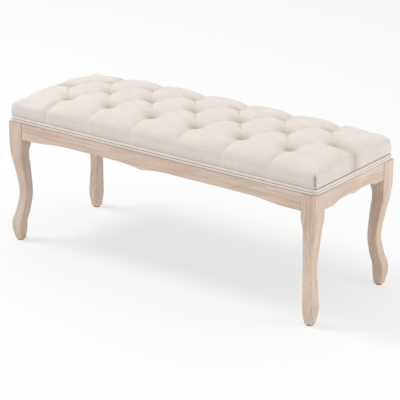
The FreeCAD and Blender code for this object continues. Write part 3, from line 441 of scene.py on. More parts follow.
FOLD_CELLS = 30  # cells along a fold between two tufts, across and along the bench
SIDE_CELLS = 36  # cells down the shoulder and the side
LAST_TUFT = (MIDDLE_TUFTS - 1) * FOLD_CELLS  # column of the middle row's last tuft
LAST_OUTER = (MIDDLE_TUFTS - 2) * FOLD_CELLS  # column of an outer row's last tuft
STEP_X = TUFT_PITCH / 2 / FOLD_CELLS  # plan length of a cell on top
STEP_Y = ROW_SPACING / FOLD_CELLS  # plan width of a cell on top
SHOULDER_CLOTH = 1.35  # cloth over the shoulder, as a share of its radius
EDGE_TUCK = 0.2 * MM  # cushion above the top of the welt and of the board
RELAX_ROUNDS = 260  # enough for the stretched sheet to settle
OVER_RELAX = 1.9  # each round's step, as a multiple of the plain one
CREASE_CELLS = 1.4  # half width of a crease
BOWL_SHARE = 0.72  # share of a tuft's depth in its wide hollow; the rest is its funnel
END_PLEAT = 0.35  # depth of the pleat at each end, as a share of the others
FULL_PLEAT = 0.75  # share of the tuft depth from which a pleat is full
TUFT_RIM = 15 * MM  # from a tuft's middle to the start of its pleat
GATHER_REACH = 24 * MM  # how far the gathers run from a tuft
GATHER_START = 4 * MM  # smooth cloth round the button
GATHER_RISE = 10 * MM  # length over which the gathers begin
PAINTED_SHADE_REACH = 20 * MM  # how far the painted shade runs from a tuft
SEAM_WIDTH = 0.034  # half width of a corner seam, as a share of the corner
SKIRT_INSET = 8.3 * MM  # tucked cover behind the outer face of the welt
BOARD_GAP = 0.3 * MM  # tucked cover off the board's edge
RAIL_GAP = 1 * MM  # tucked cover above the rails
LEAST_CORNER = 1 * MM  # corner radius that the tucked cover keeps


class CushionGrid:
    """Cells of the cover: columns along the bench and rows across it, folds on whole cells."""

    def __init__(self, settings):
        self.settings = settings
        self.inner_x = COVER_HIGH.x - settings.inset - settings.shoulder
        self.inner_y = COVER_HIGH.y - settings.inset - settings.shoulder
        last_even = LAST_TUFT * STEP_X
        self.flat_columns = LAST_TUFT + round((self.inner_x - last_even) / STEP_X)
        self.flat_rows = FOLD_CELLS + round((self.inner_y - ROW_SPACING) / STEP_Y)
        columns, rows = (
            np.arange(-flat - SIDE_CELLS, flat + SIDE_CELLS + 1)
            for flat in (self.flat_columns, self.flat_rows))
        plan_x = self.spread(columns, LAST_TUFT, self.flat_columns, last_even, self.inner_x)
        plan_y = self.spread(rows, FOLD_CELLS, self.flat_rows, ROW_SPACING, self.inner_y)
        self.column, self.row = np.meshgrid(columns, rows)
        self.plan_x, self.plan_y = np.meshgrid(plan_x, plan_y)
        self.over_x = np.clip((np.abs(self.column) - self.flat_columns) / SIDE_CELLS, 0, 1)
        self.over_y = np.clip((np.abs(self.row) - self.flat_rows) / SIDE_CELLS, 0, 1)
        self.down = np.maximum(self.over_x, self.over_y)
        self.down_or_one = np.where(self.down > 0, self.down, 1.0)
        self.foot = WELT_HIGH.z + EDGE_TUCK
        self.side = settings.side_height
        arc = SHOULDER_CLOTH * settings.shoulder
        self.arc_share = arc / (arc + self.side)
        side_cell = (arc + self.side) / SIDE_CELLS
        self.cell_x = np.where(np.abs(columns) < self.flat_columns, STEP_X, side_cell)
        self.cell_y = np.where(np.abs(rows) < self.flat_rows, STEP_Y, side_cell)

    @staticmethod
    def spread(cells, last_even, last_flat, even_end, flat_end):
        """Plan position of each column or row, up to the shoulder's start."""
        steps = np.abs(cells)
        even = steps * even_end / last_even
        rest = even_end + (steps - last_even) * (flat_end - even_end) / (last_flat - last_even)
        return np.sign(cells) * np.minimum(np.where(steps <= last_even, even, rest), flat_end)

    def profile(self):
        """Distance out from the shoulder's start, and height as shares of side and shoulder."""
        settings = self.settings
        turn = np.clip(self.down / self.arc_share, 0, 1) * math.pi / 2
        fall = np.clip((self.down - self.arc_share) / (1 - self.arc_share), 0, 1)
        ear = np.minimum(self.over_x, self.over_y) / self.down_or_one
        power = 2 / (settings.squareness + settings.ear * ear)
        swell = settings.swell * np.sin(fall * math.pi) - settings.swell * fall ** 6
        out = settings.shoulder * np.sin(turn) ** power + swell
        return out, 1 - fall, np.clip(np.cos(turn), 0, 1) ** power

    def edge_point(self, out, radius):
        """Plan position of each node, out from the shoulder's start and round the corners."""
        radius = np.minimum(radius, out)
        straight = out - radius
        bend = radius * math.pi / 2
        half_x = self.over_x / self.down_or_one / 2
        half_y = self.over_y / self.down_or_one / 2
        part = np.where(self.over_x >= self.over_y, half_y, 1 - half_x)
        way = part * (2 * straight + bend)
        turn = np.clip((way - straight) / np.where(radius > 0, radius, 1.0), 0, math.pi / 2)
        past = np.maximum(way - straight - bend, 0)
        corner = (self.over_x > 0) & (self.over_y > 0)
        ring_x = straight + radius * np.cos(turn) - past
        ring_y = np.minimum(way, straight) + radius * np.sin(turn)
        x = np.where(corner, ring_x, np.where(self.over_x > 0, out, 0))
        y = np.where(corner, ring_y, np.where(self.over_y > 0, out, 0))
        return self.plan_x + np.sign(self.plan_x) * x, self.plan_y + np.sign(self.plan_y) * y

    def base(self):
        """Smooth cushion without its tufts: points on a grid of rows and columns."""
        settings = self.settings
        out, side, shoulder = self.profile()
        share = out / settings.shoulder
        x, y = self.edge_point(out, out - (settings.shoulder - settings.corner) * share ** 3)
        across = np.clip(np.abs(self.plan_y) / self.inner_y, 0, 1)
        reach = np.where(x < 0, settings.left_reach, settings.right_reach)
        along = np.clip((np.abs(x) - self.inner_x + reach) / reach, 0, 1)
        end_fall = np.where(x < 0, settings.left_fall, settings.right_fall)
        top = COVER_HIGH.z - settings.crown_fall * across ** 2 - end_fall * along ** 1.5
        z = self.foot + self.side * side + (top - self.foot - self.side) * shoulder
        return np.stack([x, y, z], axis=-1)


def surface_normals(points):
    """Outward unit normal at each node of a grid."""
    along = np.gradient(points, axis=1)
    across = np.gradient(points, axis=0)
    normal = np.cross(along, across)
    return normal / np.maximum(np.linalg.norm(normal, axis=-1, keepdims=True), 1e-12)


def smooth(value):
    """0 to 1 with flat ends."""
    value = np.clip(value, 0, 1)
    return value * value * (3 - 2 * value)


def from_tuft(grid):
    """Plan distance of each node from the nearest tuft."""
    spans = [np.hypot(grid.plan_x - x, grid.plan_y - y) for x, y in tuft_centres()]
    return np.min(spans, axis=0)


class Folds:
    """Where the tufts, folds and pleats hold the cloth, and how deep below the smooth cushion."""

    def __init__(self, grid, base):
        settings = grid.settings
        row = np.abs(grid.row)
        column = np.abs(grid.column)
        from_middle = np.abs((grid.column + FOLD_CELLS) % (2 * FOLD_CELLS) - FOLD_CELLS)
        inside = (row <= FOLD_CELLS) & (column <= LAST_TUFT)
        diagonal = inside & (from_middle == row)
        pleat = (row >= FOLD_CELLS) & (column <= LAST_OUTER) & (from_middle == FOLD_CELLS)
        end_pleat = (row == 0) & (column >= LAST_TUFT)
        nearest = from_tuft(grid)
        deep = np.maximum(base[..., 2] - COVER_HIGH.z + settings.tuft_depth, 0)
        bowl = np.exp(-(nearest / settings.hollow) ** 2.2)
        funnel = np.exp(-(nearest / settings.funnel) ** 1.5)
        self.hollow = deep * (BOWL_SHARE * bowl + (1 - BOWL_SHARE) * funnel)
        side_pleat = settings.shoulder_depth * (1 - smooth(grid.down / grid.arc_share / 1.2))
        side_pleat = side_pleat + settings.pleat_depth * smooth((1 - grid.down) / 0.15)
        edge = smooth((nearest - TUFT_RIM) / (grid.inner_y - ROW_SPACING - TUFT_RIM))
        edge_depth = settings.shoulder_depth + settings.pleat_depth
        flat_pleat = settings.ridge_depth + (edge_depth - settings.ridge_depth) * edge
        flat_pleat = flat_pleat * np.clip(deep / (FULL_PLEAT * settings.tuft_depth), 0, 1)
        seam = np.where(grid.down > 0, side_pleat, flat_pleat)
        seam = np.where(end_pleat, END_PLEAT * seam, seam)
        rim = grid.down >= 1
        fold = settings.fold_depth * deep / settings.tuft_depth
        self.depth = np.where(diagonal, fold, np.where(pleat | end_pleat, seam, 0))
        self.depth = np.where(rim, 0, self.depth)
        off = np.abs(from_middle - row) / CREASE_CELLS
        self.crease = np.where(inside, np.exp(-off ** 2), 0)
        self.folded = diagonal | pleat | end_pleat
        self.held = self.folded | rim


def relax(grid, fixed, held, source):
    """Stretched sheet held at some nodes and pushed by a source elsewhere."""
    wide = 1 / grid.cell_x[None, :] ** 2
    tall = 1 / grid.cell_y[:, None] ** 2
    middle = 2 * wide + 2 * tall
    level = fixed.copy()
    odd = (grid.column + grid.row) % 2 == 1
    for _ in range(RELAX_ROUNDS):
        for turn in (odd, ~odd):
            around = np.pad(level, 1, mode="edge")
            pull = wide * (around[1:-1, :-2] + around[1:-1, 2:])
            pull = pull + tall * (around[:-2, 1:-1] + around[2:, 1:-1]) + source
            step = OVER_RELAX * (pull / middle - level)
            level = np.where(held | ~turn, level, level + step)
    return level


def gathers(grid, seed):
    """Small gathers that radiate from each tuft."""
    draw = np.random.default_rng(seed)
    relief = np.zeros(grid.plan_x.shape)
    for x, y in tuft_centres():
        distance = np.hypot(grid.plan_x - x, grid.plan_y - y)
        angle = np.arctan2(grid.plan_y - y, grid.plan_x - x)
        count = draw.integers(6, 9)
        first, second = draw.uniform(0, 2 * math.pi, 2)
        wander = 0.5 * np.sin(2 * angle + second)
        waves = 1 - 2 * np.abs(np.cos(count * angle + first + wander)) ** 0.7
        reach = GATHER_REACH * (1 + 0.25 * np.cos(3 * angle + second))
        start = smooth((distance - GATHER_START) / GATHER_RISE)
        relief -= waves * start * np.exp(-(distance / reach) ** 2)
    return relief


def pleat_side(grid):
    """Cells from each node to the nearest pleat, negative on its left."""
    return (grid.column % (2 * FOLD_CELLS)) - FOLD_CELLS


def lap_shift(grid):
    """How far each node near a pleat moves along the bench, so that one side laps the other."""
    settings = grid.settings
    past = pleat_side(grid) * STEP_X
    outer = smooth((np.abs(grid.row) - FOLD_CELLS * 1.1) / (FOLD_CELLS * 0.3))
    foot = smooth((1 - grid.down) / 0.2)
    lap = np.exp(-((past - settings.lap * 1.6) / (settings.lap * 1.3)) ** 2) * (past > 0)
    inner = np.abs(grid.column) < LAST_OUTER + FOLD_CELLS / 2
    return -settings.lap * lap * outer * foot * inner


def steepness(grid):
    """Power of each node's rise from its fold: gentle on top, steep right of a pleat."""
    settings = grid.settings
    beside = pleat_side(grid)
    side = np.tanh(beside / 3) * np.cos(beside / FOLD_CELLS * math.pi / 2)
    outer = smooth((np.abs(grid.row) - FOLD_CELLS * 1.05) / (FOLD_CELLS * 0.3))
    low = smooth(grid.down / grid.arc_share)
    power = settings.roundness + (settings.side_roundness - settings.roundness) * low
    return power - settings.lean * side * outer


def corner_seam(grid):
    """Share of the seam's depth at each node of the upright corners."""
    off = (grid.over_x - grid.over_y) / grid.down_or_one
    corner = (grid.over_x > 0) & (grid.over_y > 0)
    low = smooth((grid.down - grid.arc_share * 0.75) / (grid.arc_share * 0.2))
    return corner * np.exp(-(off / SEAM_WIDTH) ** 2) * low * smooth((1 - grid.down) / 0.08)


def puff_rise(grid, folds):
    """How far each node has risen from its folds: 0 in them and softly up to 1 on a puff."""
    swell = relax(grid, np.zeros(grid.down.shape), folds.folded, 1)
    middle = np.abs(grid.column[0]) <= 2 * FOLD_CELLS
    full = swell[:, middle].max(axis=1)[:, None]
    share = 1.08 * swell / full
    soft = share / (1 + share ** 8) ** 0.125
    return np.clip(soft, 0, 1) ** steepness(grid)


def cushion_points(grid):
    """Tufted cover over the smooth cushion."""
    settings = grid.settings
    base = grid.base()
    normal = surface_normals(base)
    folds = Folds(grid, base)
    low = relax(grid, folds.depth, folds.held, 0)
    sunk = low * (1 - puff_rise(grid, folds))
    sunk = (sunk ** 3 + folds.hollow ** 3) ** (1 / 3)
    sunk = sunk - settings.gather * gathers(grid, settings.seed)
    sunk = sunk + settings.crease * folds.crease * (1 - grid.down)
    sunk = sunk + settings.seam_depth * corner_seam(grid)
    points = base - normal * sunk[..., None]
    points[..., 0] += lap_shift(grid)
    return points


def cloth_coordinates(grid):
    """Flat position of each node on the cloth, in metres."""
    ways = [
        np.concatenate([[0], np.cumsum((cell[1:] + cell[:-1]) / 2)])
        for cell in (grid.cell_x, grid.cell_y)]
    return np.stack(np.meshgrid(*ways), axis=-1)


def painted_shade_share(grid):
    """Share of painted shade at each node: 1 in a tuft or a seam, 0 on a puff."""
    return np.maximum(np.exp(-(from_tuft(grid) / PAINTED_SHADE_REACH) ** 2), corner_seam(grid))


def border(rows, columns):
    """Indices round the edge of a grid, counter-clockwise from its first corner."""
    index = np.arange(rows * columns).reshape(rows, columns)
    sides = [index[0], index[1:, -1], index[-1, -2::-1], index[-2:0:-1, 0]]
    return np.concatenate(sides).tolist()


def tuck_rings(grid, edge):
    """Rings that take the cover in over the welt, down the board's edge and back up."""
    settings = grid.settings
    skirt = WELT_HIGH.x - SKIRT_INSET - grid.inner_x
    board = BOARD_HIGH.x - grid.inner_x + BOARD_GAP
    levels = [
        (skirt, grid.foot),
        (skirt, RAIL_TOP + RAIL_GAP),
        (board, RAIL_TOP + RAIL_GAP),
        (board, BOARD_HIGH.z + EDGE_TUCK),
    ]
    rings = []
    for out, height in levels:
        radius = max(settings.corner - (settings.shoulder - out), LEAST_CORNER)
        x, y = grid.edge_point(np.full(grid.down.shape, out), radius)
        level = np.full(len(edge), height)
        rings.append(np.stack([x.ravel()[edge], y.ravel()[edge], level], axis=-1))
    return rings


def make_cushion_mesh(settings):
    """Closed cushion: tufted cover, tucked edge and a flat underside on the board."""
    grid = CushionGrid(settings)
    points = cushion_points(grid)
    rows, columns = points.shape[:2]
    cloth = cloth_coordinates(grid).reshape(-1, 2)
    faces = grid_faces(rows, columns)
    edge = border(rows, columns)
    rings = tuck_rings(grid, edge)
    every = [points.reshape(-1, 3)] + rings
    every_cloth = [cloth] + [cloth[edge]] * len(rings)
    above = edge
    for index in range(len(rings)):
        start = rows * columns + index * len(edge)
        below = list(range(start, start + len(edge)))
        for place in range(len(edge)):
            after = (place + 1) % len(edge)
            faces.append((above[after], above[place], below[place], below[after]))
        above = below
    faces.append(tuple(reversed(above)))
    cushion = new_piece("tufted_cushion", np.concatenate(every), faces)
    paint_cloth(cushion, np.concatenate(every_cloth))
    # painted shade of the tufts and corner seams, kept as an attribute for the linen
    share = np.zeros(len(cushion.data.vertices), np.float32)
    share[:rows * columns] = painted_shade_share(grid).ravel()
    layer = cushion.data.attributes.new("painted_shade", "FLOAT", "POINT")
    layer.data.foreach_set("value", share)
    return cushion


# Welt

WELT_CORNER = 13.7 * MM  # corner radius of a bead's middle line
WELT_STEP = 4 * MM  # length of a cell along a bead
WELT_SIDES = 14  # cells round a bead
PUCKER = 0.16 * MM  # depth of the puckers along the seam
PUCKER_PITCH = 5.5 * MM  # from one pucker to the next but one


def seat_outline(inset, radius):
    """Points and directions round the seat's rounded plan, counter-clockwise."""
    far_x = FRAME_BOX[1].x - inset - radius
    far_y = FRAME_BOX[1].y - inset - radius
    centres = [(far_x, far_y), (-far_x, far_y), (-far_x, -far_y), (far_x, -far_y)]
    arc_steps = max(3, round(radius * math.pi / 2 / WELT_STEP))
    places = []
    for quarter, (x, y) in enumerate(centres):
        for part in range(arc_steps + 1):
            angle = (quarter + part / arc_steps) * math.pi / 2
            places.append((x + radius * math.cos(angle), y + radius * math.sin(angle), angle))
        next_x, next_y = centres[(quarter + 1) % 4]
        from_x, from_y, _ = places[-1]
        count = round(math.hypot(next_x - x, next_y - y) / WELT_STEP)
        for part in range(1, count):
            share = part / count
            places.append((
                from_x + (next_x - x) * share, from_y + (next_y - y) * share, angle))
    return places


def make_welt_mesh():
    """Two beads of linen side by side, puckered a little along their seam."""
    diameter = (WELT_HIGH.z - WELT_LOW.z) / 2
    radius = diameter / 2
    places = seat_outline(FRAME_BOX[1].x - WELT_HIGH.x + radius, WELT_CORNER)
    turns = [2 * math.pi * side / WELT_SIDES for side in range(WELT_SIDES)]
    points = []
    cloth = []
    faces = []
    for bead in range(2):
        level = WELT_LOW.z + radius + diameter * bead
        start = len(points)
        way = 0.0
        for index, (x, y, angle) in enumerate(places):
            pucker = abs(PUCKER * math.sin(way / PUCKER_PITCH * 2 * math.pi + bead))
            for turn in turns:
                toward_seam = max(0.0, -math.sin(turn) if bead else math.sin(turn))
                reach = radius - pucker * toward_seam
                out = reach * math.cos(turn)
                points.append((
                    x + out * math.cos(angle), y + out * math.sin(angle),
                    level + reach * math.sin(turn)))
                cloth.append((way, turn * radius))
            after_x, after_y, _ = places[(index + 1) % len(places)]
            way += math.hypot(after_x - x, after_y - y)
        for index in range(len(places)):
            here = start + index * WELT_SIDES
            after = start + (index + 1) % len(places) * WELT_SIDES
            for side in range(WELT_SIDES):
                other = (side + 1) % WELT_SIDES
                faces.append((here + other, after + other, after + side, here + side))
    welt = new_piece("linen_double_welt", points, faces)
    paint_cloth(welt, cloth)
    return welt


# Repeated pieces, by geometry nodes

STRAND_RADIUS = 0.42 * MM  # each of the twine's two strands
STRAND_TURNS = 9.0  # turns of the strands round each other


class Recipe(Tree):
    """A geometry node tree with named inputs."""

    def __init__(self, name):
        self.tree = bpy.data.node_groups.new(name, "GeometryNodeTree")
        for way in ("INPUT", "OUTPUT"):
            self.tree.interface.new_socket("Geometry", in_out=way, socket_type="NodeSocketGeometry")
        self.source = self.tree.nodes.new("NodeGroupInput")
        self.values = {}

    def size(self, name, value, kind="NodeSocketFloat"):
        """A named input and the value that the modifier gives it."""
        self.tree.interface.new_socket(name, in_out="INPUT", socket_type=kind)
        self.values[name] = value
        return Wire(self, self.source.outputs[name])

    def finish(self, instance, material):
        """Copy a shape to every point, make the copies real and give them their finish."""
        points = Wire(self, self.source.outputs["Geometry"])
        copies = self.node(
            "GeometryNodeInstanceOnPoints", inputs={"Points": points, "Instance": instance})
        real = self.node("GeometryNodeRealizeInstances", inputs={"Geometry": copies})
        smooth = self.node("GeometryNodeSetShadeSmooth", inputs={"Geometry": real})
        painted = self.node(
            "GeometryNodeSetMaterial", inputs={"Geometry": smooth, "Material": material})
        self.node("NodeGroupOutput", inputs={"Geometry": painted})

    def run(self, name, points):
        """Piece whose plain mesh the tree makes from loose points."""
        carrier = new_piece(name, points, [], smooth=False)
        modifier = carrier.modifiers.new("recipe", "NODES")
        modifier.node_group = self.tree
        for item in self.tree.interface.items_tree:
            if item.name in self.values and item.in_out == "INPUT":
                modifier[item.identifier] = self.values[item.name]
        ready = carrier.evaluated_get(bpy.context.evaluated_depsgraph_get())
        mesh = bpy.data.meshes.new_from_object(ready)
        carrier.modifiers.clear()
        carrier.data = mesh
        mesh.name = name
        return carrier


def make_buttons(settings, material):
    """A covered button in every tuft."""
    recipe = Recipe("covered_buttons")
    radius = recipe.size("Radius", BUTTON_RADIUS)
    share = settings.button_height / 2 / BUTTON_RADIUS
    flat = recipe.size("Flatness", (1, 1, share), "NodeSocketVector")
    ball = recipe.node(
        "GeometryNodeMeshUVSphere", inputs={"Segments": 24, "Rings": 12, "Radius": radius})
    button = recipe.node("GeometryNodeTransform", inputs={"Geometry": ball, "Scale": flat})
    recipe.finish(button, material)
    level = MIDDLE_BUTTONS_LOW.z + settings.button_height / 2
    return recipe.run("covered_buttons", [(x, y, level) for x, y in tuft_centres()])


def make_twine(material):
    """Two strands twisted together under every button."""
    recipe = Recipe("twisted_twine")
    height = recipe.size("Height", TWINE_HIGH.z - TWINE_LOW.z)
    orbit = recipe.size("Orbit", STRAND_RADIUS)
    thick = recipe.size("Strand", STRAND_RADIUS)
    spiral = recipe.node("GeometryNodeCurveSpiral", inputs={
        "Resolution": 8, "Rotations": STRAND_TURNS, "Start Radius": orbit, "End Radius": orbit,
        "Height": height})
    section = recipe.node(
        "GeometryNodeCurvePrimitiveCircle", inputs={"Resolution": 6, "Radius": thick})
    strand = recipe.node(
        "GeometryNodeCurveToMesh",
        inputs={"Curve": spiral, "Profile Curve": section, "Fill Caps": True})
    other = recipe.node(
        "GeometryNodeTransform", inputs={"Geometry": strand, "Rotation": (0, 0, math.pi)})
    pair = recipe.node("GeometryNodeJoinGeometry", inputs={"Geometry": strand})
    recipe.tree.links.new(other.socket, pair.socket.node.inputs["Geometry"])
    recipe.finish(pair, material)
    return recipe.run("twisted_twine", [(x, y, TWINE_LOW.z) for x, y in tuft_centres()])


# Dust cloth

DUST_CELL = 14 * MM  # about the size of a cell of the cloth


def bay_sag(x, brace_x):
    """Share of the full sag at a place along the cloth, whose braces don't let it down."""
    if abs(x) < brace_x:
        return max(0, math.cos(abs(x) / brace_x * math.pi / 2))
    return max(0, math.sin((abs(x) - brace_x) / (DUST_HIGH.x - brace_x) * math.pi))


def cloth_lines(half, notch):
    """Places of the cloth's lines one way, with one pair on the notches' edges."""
    inner = half - notch
    count = max(2, round(2 * inner / DUST_CELL))
    middle = [-inner + 2 * inner * index / count for index in range(count + 1)]
    return [-half, -half + notch / 2] + middle + [half - notch / 2, half]


def make_dust_mesh(sag):
    """Thin cloth under the blocks and braces, cut out round the posts, and its area."""
    notch_x = DUST_HIGH.x - (FRAME_BOX[1].x - (LEG_HIGH.x - LEG_LOW.x))
    notch_y = DUST_HIGH.y - (FRAME_BOX[1].y - (LEG_HIGH.y - LEG_LOW.y))
    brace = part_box("cross_brace_right")
    brace_x = (brace[0].x + brace[1].x) / 2
    xs = cloth_lines(DUST_HIGH.x, notch_x)
    ys = cloth_lines(DUST_HIGH.y, notch_y)
    points = []
    for y in ys:
        across = max(0, math.cos(y / DUST_HIGH.y * math.pi / 2))
        points += [(x, y, DUST_HIGH.z - sag * bay_sag(x, brace_x) * across) for x in xs]
    faces = []
    for face in grid_faces(len(ys), len(xs)):
        (low_x, low_y, _), (high_x, high_y, _) = points[face[0]], points[face[2]]
        past_x = abs(low_x + high_x) / 2 > DUST_HIGH.x - notch_x
        past_y = abs(low_y + high_y) / 2 > DUST_HIGH.y - notch_y
        if not (past_x and past_y):
            faces.append(face)
    used = sorted({index for face in faces for index in face})
    order = {old: new for new, old in enumerate(used)}
    cloth = new_piece(
        "black_dust_cloth", [points[index] for index in used],
        [tuple(order[index] for index in face) for face in faces])
    shell = cloth.modifiers.new("thickness", "SOLIDIFY")
    shell.thickness = DUST_HIGH.z - DUST_LOW.z
    shell.offset = -1
    return cloth, 4 * (DUST_HIGH.x * DUST_HIGH.y - notch_x * notch_y)


# Operators

LONG_RAILS = ("front_rail", "back_rail")
END_RAILS = ("left_rail", "right_rail")
CORNERS = ("front_left", "front_right", "back_left", "back_right")
LEGS = ["leg_" + corner for corner in CORNERS]
BLOCKS = ["corner_block_" + corner for corner in CORNERS]
GLIDES = ["glide_" + corner for corner in CORNERS]
BRACES = ["cross_brace_left", "cross_brace_right"]
STEEL = ("corner_block_screws", "brace_screws", "seat_screws", "glide_nails",
         "cover_staples", "dust_cloth_staples")


def dress(nodes, material):
    """Give frame nodes their finish."""
    for name in nodes:
        for slot in NODES[name].material_slots:
            slot.material = material


class BENCH_OT_cushion(bpy.types.Operator):
    """Make the deep-tufted cushion"""
    bl_idname = "bench.cushion"
    bl_label = "Cushion"

    def execute(self, context):
        settings = context.scene.bench_linen
        # the seat linen carries painted shade in the tufts and corner seams
        linen = linen_finish("seat_linen", settings.linen, settings.thread, painted_shade=True)
        cushion = make_cushion_mesh(context.scene.bench_cushion)
        finished(cushion, linen, "linen", "seat_cover", "seat_foam")
        return {"FINISHED"}


class BENCH_OT_welt(bpy.types.Operator):
    """Make the double welt round the foot of the cushion"""
    bl_idname = "bench.welt"
    bl_label = "Double welt"

    def execute(self, context):
        settings = context.scene.bench_linen
        # painted highlight: the welt's linen is the seat's linen made 4 % lighter
        bias = linen_finish(
            "welt_linen", shade(settings.linen, 1.04), settings.thread, math.radians(45))
        finished(
            make_welt_mesh(), bias, "linen", "double_welt", "welt_cord_lower", "welt_cord_upper")
        return {"FINISHED"}


class BENCH_OT_buttons(bpy.types.Operator):
    """Make the covered buttons and the twine that holds them"""
    bl_idname = "bench.buttons"
    bl_label = "Buttons and twine"

    def execute(self, context):
        settings = context.scene.bench_linen
        cover = linen_finish("button_linen", settings.linen, settings.thread)
        finished(
            make_buttons(settings, cover), cover, "linen",
            "tuft_buttons_front", "tuft_buttons_middle", "tuft_buttons_back")
        cotton = twisted_finish("twine_cotton", (0.85, 0.82, 0.74))
        finished(make_twine(cotton), cotton, "cotton_cord", "tufting_twine")
        return {"FINISHED"}


class BENCH_OT_dust_cloth(bpy.types.Operator):
    """Make the black cloth under the seat"""
    bl_idname = "bench.dust_cloth"
    bl_label = "Dust cloth"

    def execute(self, context):
        cloth, area = make_dust_mesh(context.scene.bench_linen.dust_sag)
        felt = felted_finish("dust_felt", (0.020, 0.020, 0.022))
        finished(cloth, felt, "dust_cloth", "dust_cloth")
        return {"FINISHED"}


class BENCH_OT_wood(bpy.types.Operator):
    """Finish the legs, rails, blocks, braces and board"""
    bl_idname = "bench.wood"
    bl_label = "Wood"

    def execute(self, context):
        settings = context.scene.bench_wood
        joint = RAIL_TOP - settings.glue_line
        dress(LEGS, wood_finish("leg_wood", "z", settings.pale, settings.deep))
        front_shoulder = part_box("front_rail")[1].x - TENON
        end_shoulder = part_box("right_rail")[1].y - TENON
        dress(LONG_RAILS, wood_finish(
            "long_rail_wood", "x", settings.pale, settings.deep, joint, front_shoulder))
        dress(END_RAILS, wood_finish(
            "end_rail_wood", "y", settings.pale, settings.deep, joint, end_shoulder))
        block_deep = shade(settings.block, 0.7)
        dress(BLOCKS, wood_finish("block_wood", "x", settings.block, block_deep))
        dress(BRACES, wood_finish("brace_wood", "y", settings.block, block_deep))
        dress(("seat_board",), plywood_finish(
            "board_plywood", (0.66, 0.52, 0.35), (0.52, 0.38, 0.23), BOARD_LOW.z, BOARD_HIGH.z))
        return {"FINISHED"}


class BENCH_OT_hardware(bpy.types.Operator):
    """Finish the glides, fasteners and back buttons"""
    bl_idname = "bench.hardware"
    bl_label = "Hardware"

    def execute(self, context):
        dress(GLIDES, plastic_finish("glide_plastic", (0.045, 0.042, 0.040)))
        dress(("back_buttons",), plastic_finish("back_button_plastic", (0.75, 0.73, 0.68)))
        dress(STEEL, steel_finish("plated_steel", (0.62, 0.62, 0.60)))
        return {"FINISHED"}


def softbox(name, at, aim, size, power):
    """Square lamp that the camera doesn't see."""
    lamp = bpy.data.lights.new(name, "AREA")
    lamp.shape = "SQUARE"
    lamp.size = size
    lamp.energy = power
    holder = bpy.data.objects.new(name, lamp)
    holder.location = at
    holder.visible_camera = False
    holder.rotation_euler = (Vector(aim) - Vector(at)).to_track_quat("-Z", "Y").to_euler()
    bpy.context.scene.collection.objects.link(holder)


def seen_by_eye(finish):
    """1 for rays from the camera, mirrors and glass, and 0 for the light's own."""
    path = finish.node("ShaderNodeLightPath", output="Is Camera Ray")
    outputs = path.socket.node.outputs
    glossy = Wire(finish, outputs["Is Glossy Ray"])
    through = Wire(finish, outputs["Is Transmission Ray"])
    return path.math("MAXIMUM", glossy.math("MAXIMUM", through))


def floor_finish():
    """Pale floor that keeps the shadow and is white where nothing shades it."""
    finish = Finish("studio_floor")
    lit = finish.node("ShaderNodeBsdfDiffuse", inputs={"Color": (0.86, 0.86, 0.86)})
    glow = finish.node("ShaderNodeEmission", inputs={"Color": (1, 1, 1), "Strength": 1.0})
    share = seen_by_eye(finish) * 0.62
    both = finish.node("ShaderNodeMixShader", inputs={0: share, 1: lit, 2: glow})
    finish.node("ShaderNodeOutputMaterial", inputs={"Surface": both})
    return finish.owner


def make_room_light(strength):
    """White room light; the eye sees plain white."""
    room = Finish("studio_room", "worlds")
    bpy.context.scene.world = room.owner
    share = seen_by_eye(room)
    dim = room.node("ShaderNodeBackground", inputs={"Color": (1, 1, 1), "Strength": strength})
    white = room.node("ShaderNodeBackground", inputs={"Color": (1, 1, 1), "Strength": 1.0})
    both = room.node("ShaderNodeMixShader", inputs={0: share, 1: dim, 2: white})
    room.node("ShaderNodeOutputWorld", inputs={"Surface": both})


FLOOR_REACH = 30.0  # of the floor from the bench, each way


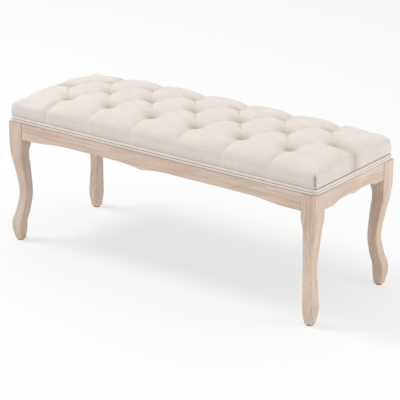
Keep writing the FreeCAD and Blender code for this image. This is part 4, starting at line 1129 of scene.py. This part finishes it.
class BENCH_OT_studio(bpy.types.Operator):
    """Make the floor, lights and camera"""
    bl_idname = "bench.studio"
    bl_label = "Studio"

    def execute(self, context):
        settings = context.scene.bench_studio
        signs = ((-1, -1), (1, -1), (1, 1), (-1, 1))
        corners = [(x * FLOOR_REACH, y * FLOOR_REACH, 0) for x, y in signs]
        floor = new_piece("studio_floor", corners, [(0, 1, 2, 3)], smooth=False)
        floor.data.materials.append(floor_finish())
        softbox(
            "key_softbox", at=(-2.9, -1.1, 5.2), aim=(0, 0, 0.3), size=1.9, power=settings.key)
        softbox(
            "side_softbox", at=(2.2, 0.5, 0.9), aim=(0.5, 0, 0.35), size=0.9, power=settings.side)
        make_room_light(settings.ambient)
        self.make_camera(context, settings)
        context.scene.view_settings.view_transform = "Standard"
        return {"FINISHED"}

    def make_camera(self, context, settings):
        level = Euler((math.pi / 2 - settings.elevation, 0, settings.azimuth)).to_matrix()
        place = Vector((0, 0, settings.aim_height))
        place += level @ Vector((settings.aside, settings.upward, settings.distance))
        rolled = level @ Matrix.Rotation(settings.roll, 3, "Z")
        data = bpy.data.cameras.new("studio_camera")
        data.lens = settings.lens
        camera = bpy.data.objects.new("studio_camera", data)
        camera.matrix_world = Matrix.Translation(place) @ rolled.to_4x4()
        context.scene.collection.objects.link(camera)
        context.scene.camera = camera


class BENCH_PT_panel(bpy.types.Panel):
    """Lists the steps that dress the bench"""
    bl_idname = "BENCH_PT_panel"
    bl_label = "Tufted Bench"
    bl_space_type = "VIEW_3D"
    bl_region_type = "UI"
    bl_category = "Bench"

    def draw(self, context):
        for step in OPERATORS:
            self.layout.operator(step.bl_idname)
        for name in SETTINGS:
            group = getattr(context.scene, name)
            box = self.layout.box()
            for key in group.__annotations__:
                box.prop(group, key)


SETTINGS = {
    "bench_cushion": BenchCushionSettings,
    "bench_linen": BenchLinenSettings,
    "bench_wood": BenchWoodSettings,
    "bench_studio": BenchStudioSettings,
}
OPERATORS = (
    BENCH_OT_cushion,
    BENCH_OT_welt,
    BENCH_OT_buttons,
    BENCH_OT_dust_cloth,
    BENCH_OT_wood,
    BENCH_OT_hardware,
    BENCH_OT_studio,
)


CLASSES = (*SETTINGS.values(), *OPERATORS, BENCH_PT_panel)


def register():
    for kind in CLASSES:
        bpy.utils.register_class(kind)
    for name, group in SETTINGS.items():
        setattr(bpy.types.Scene, name, PointerProperty(type=group))


def unregister():
    for name in SETTINGS:
        delattr(bpy.types.Scene, name)
    for kind in reversed(CLASSES):
        bpy.utils.unregister_class(kind)


def main():
    register()
    bpy.ops.bench.cushion()
    bpy.ops.bench.welt()
    bpy.ops.bench.buttons()
    bpy.ops.bench.dust_cloth()
    bpy.ops.bench.wood()
    bpy.ops.bench.hardware()
    bpy.ops.bench.studio()


if __name__ == "__main__":
    main()
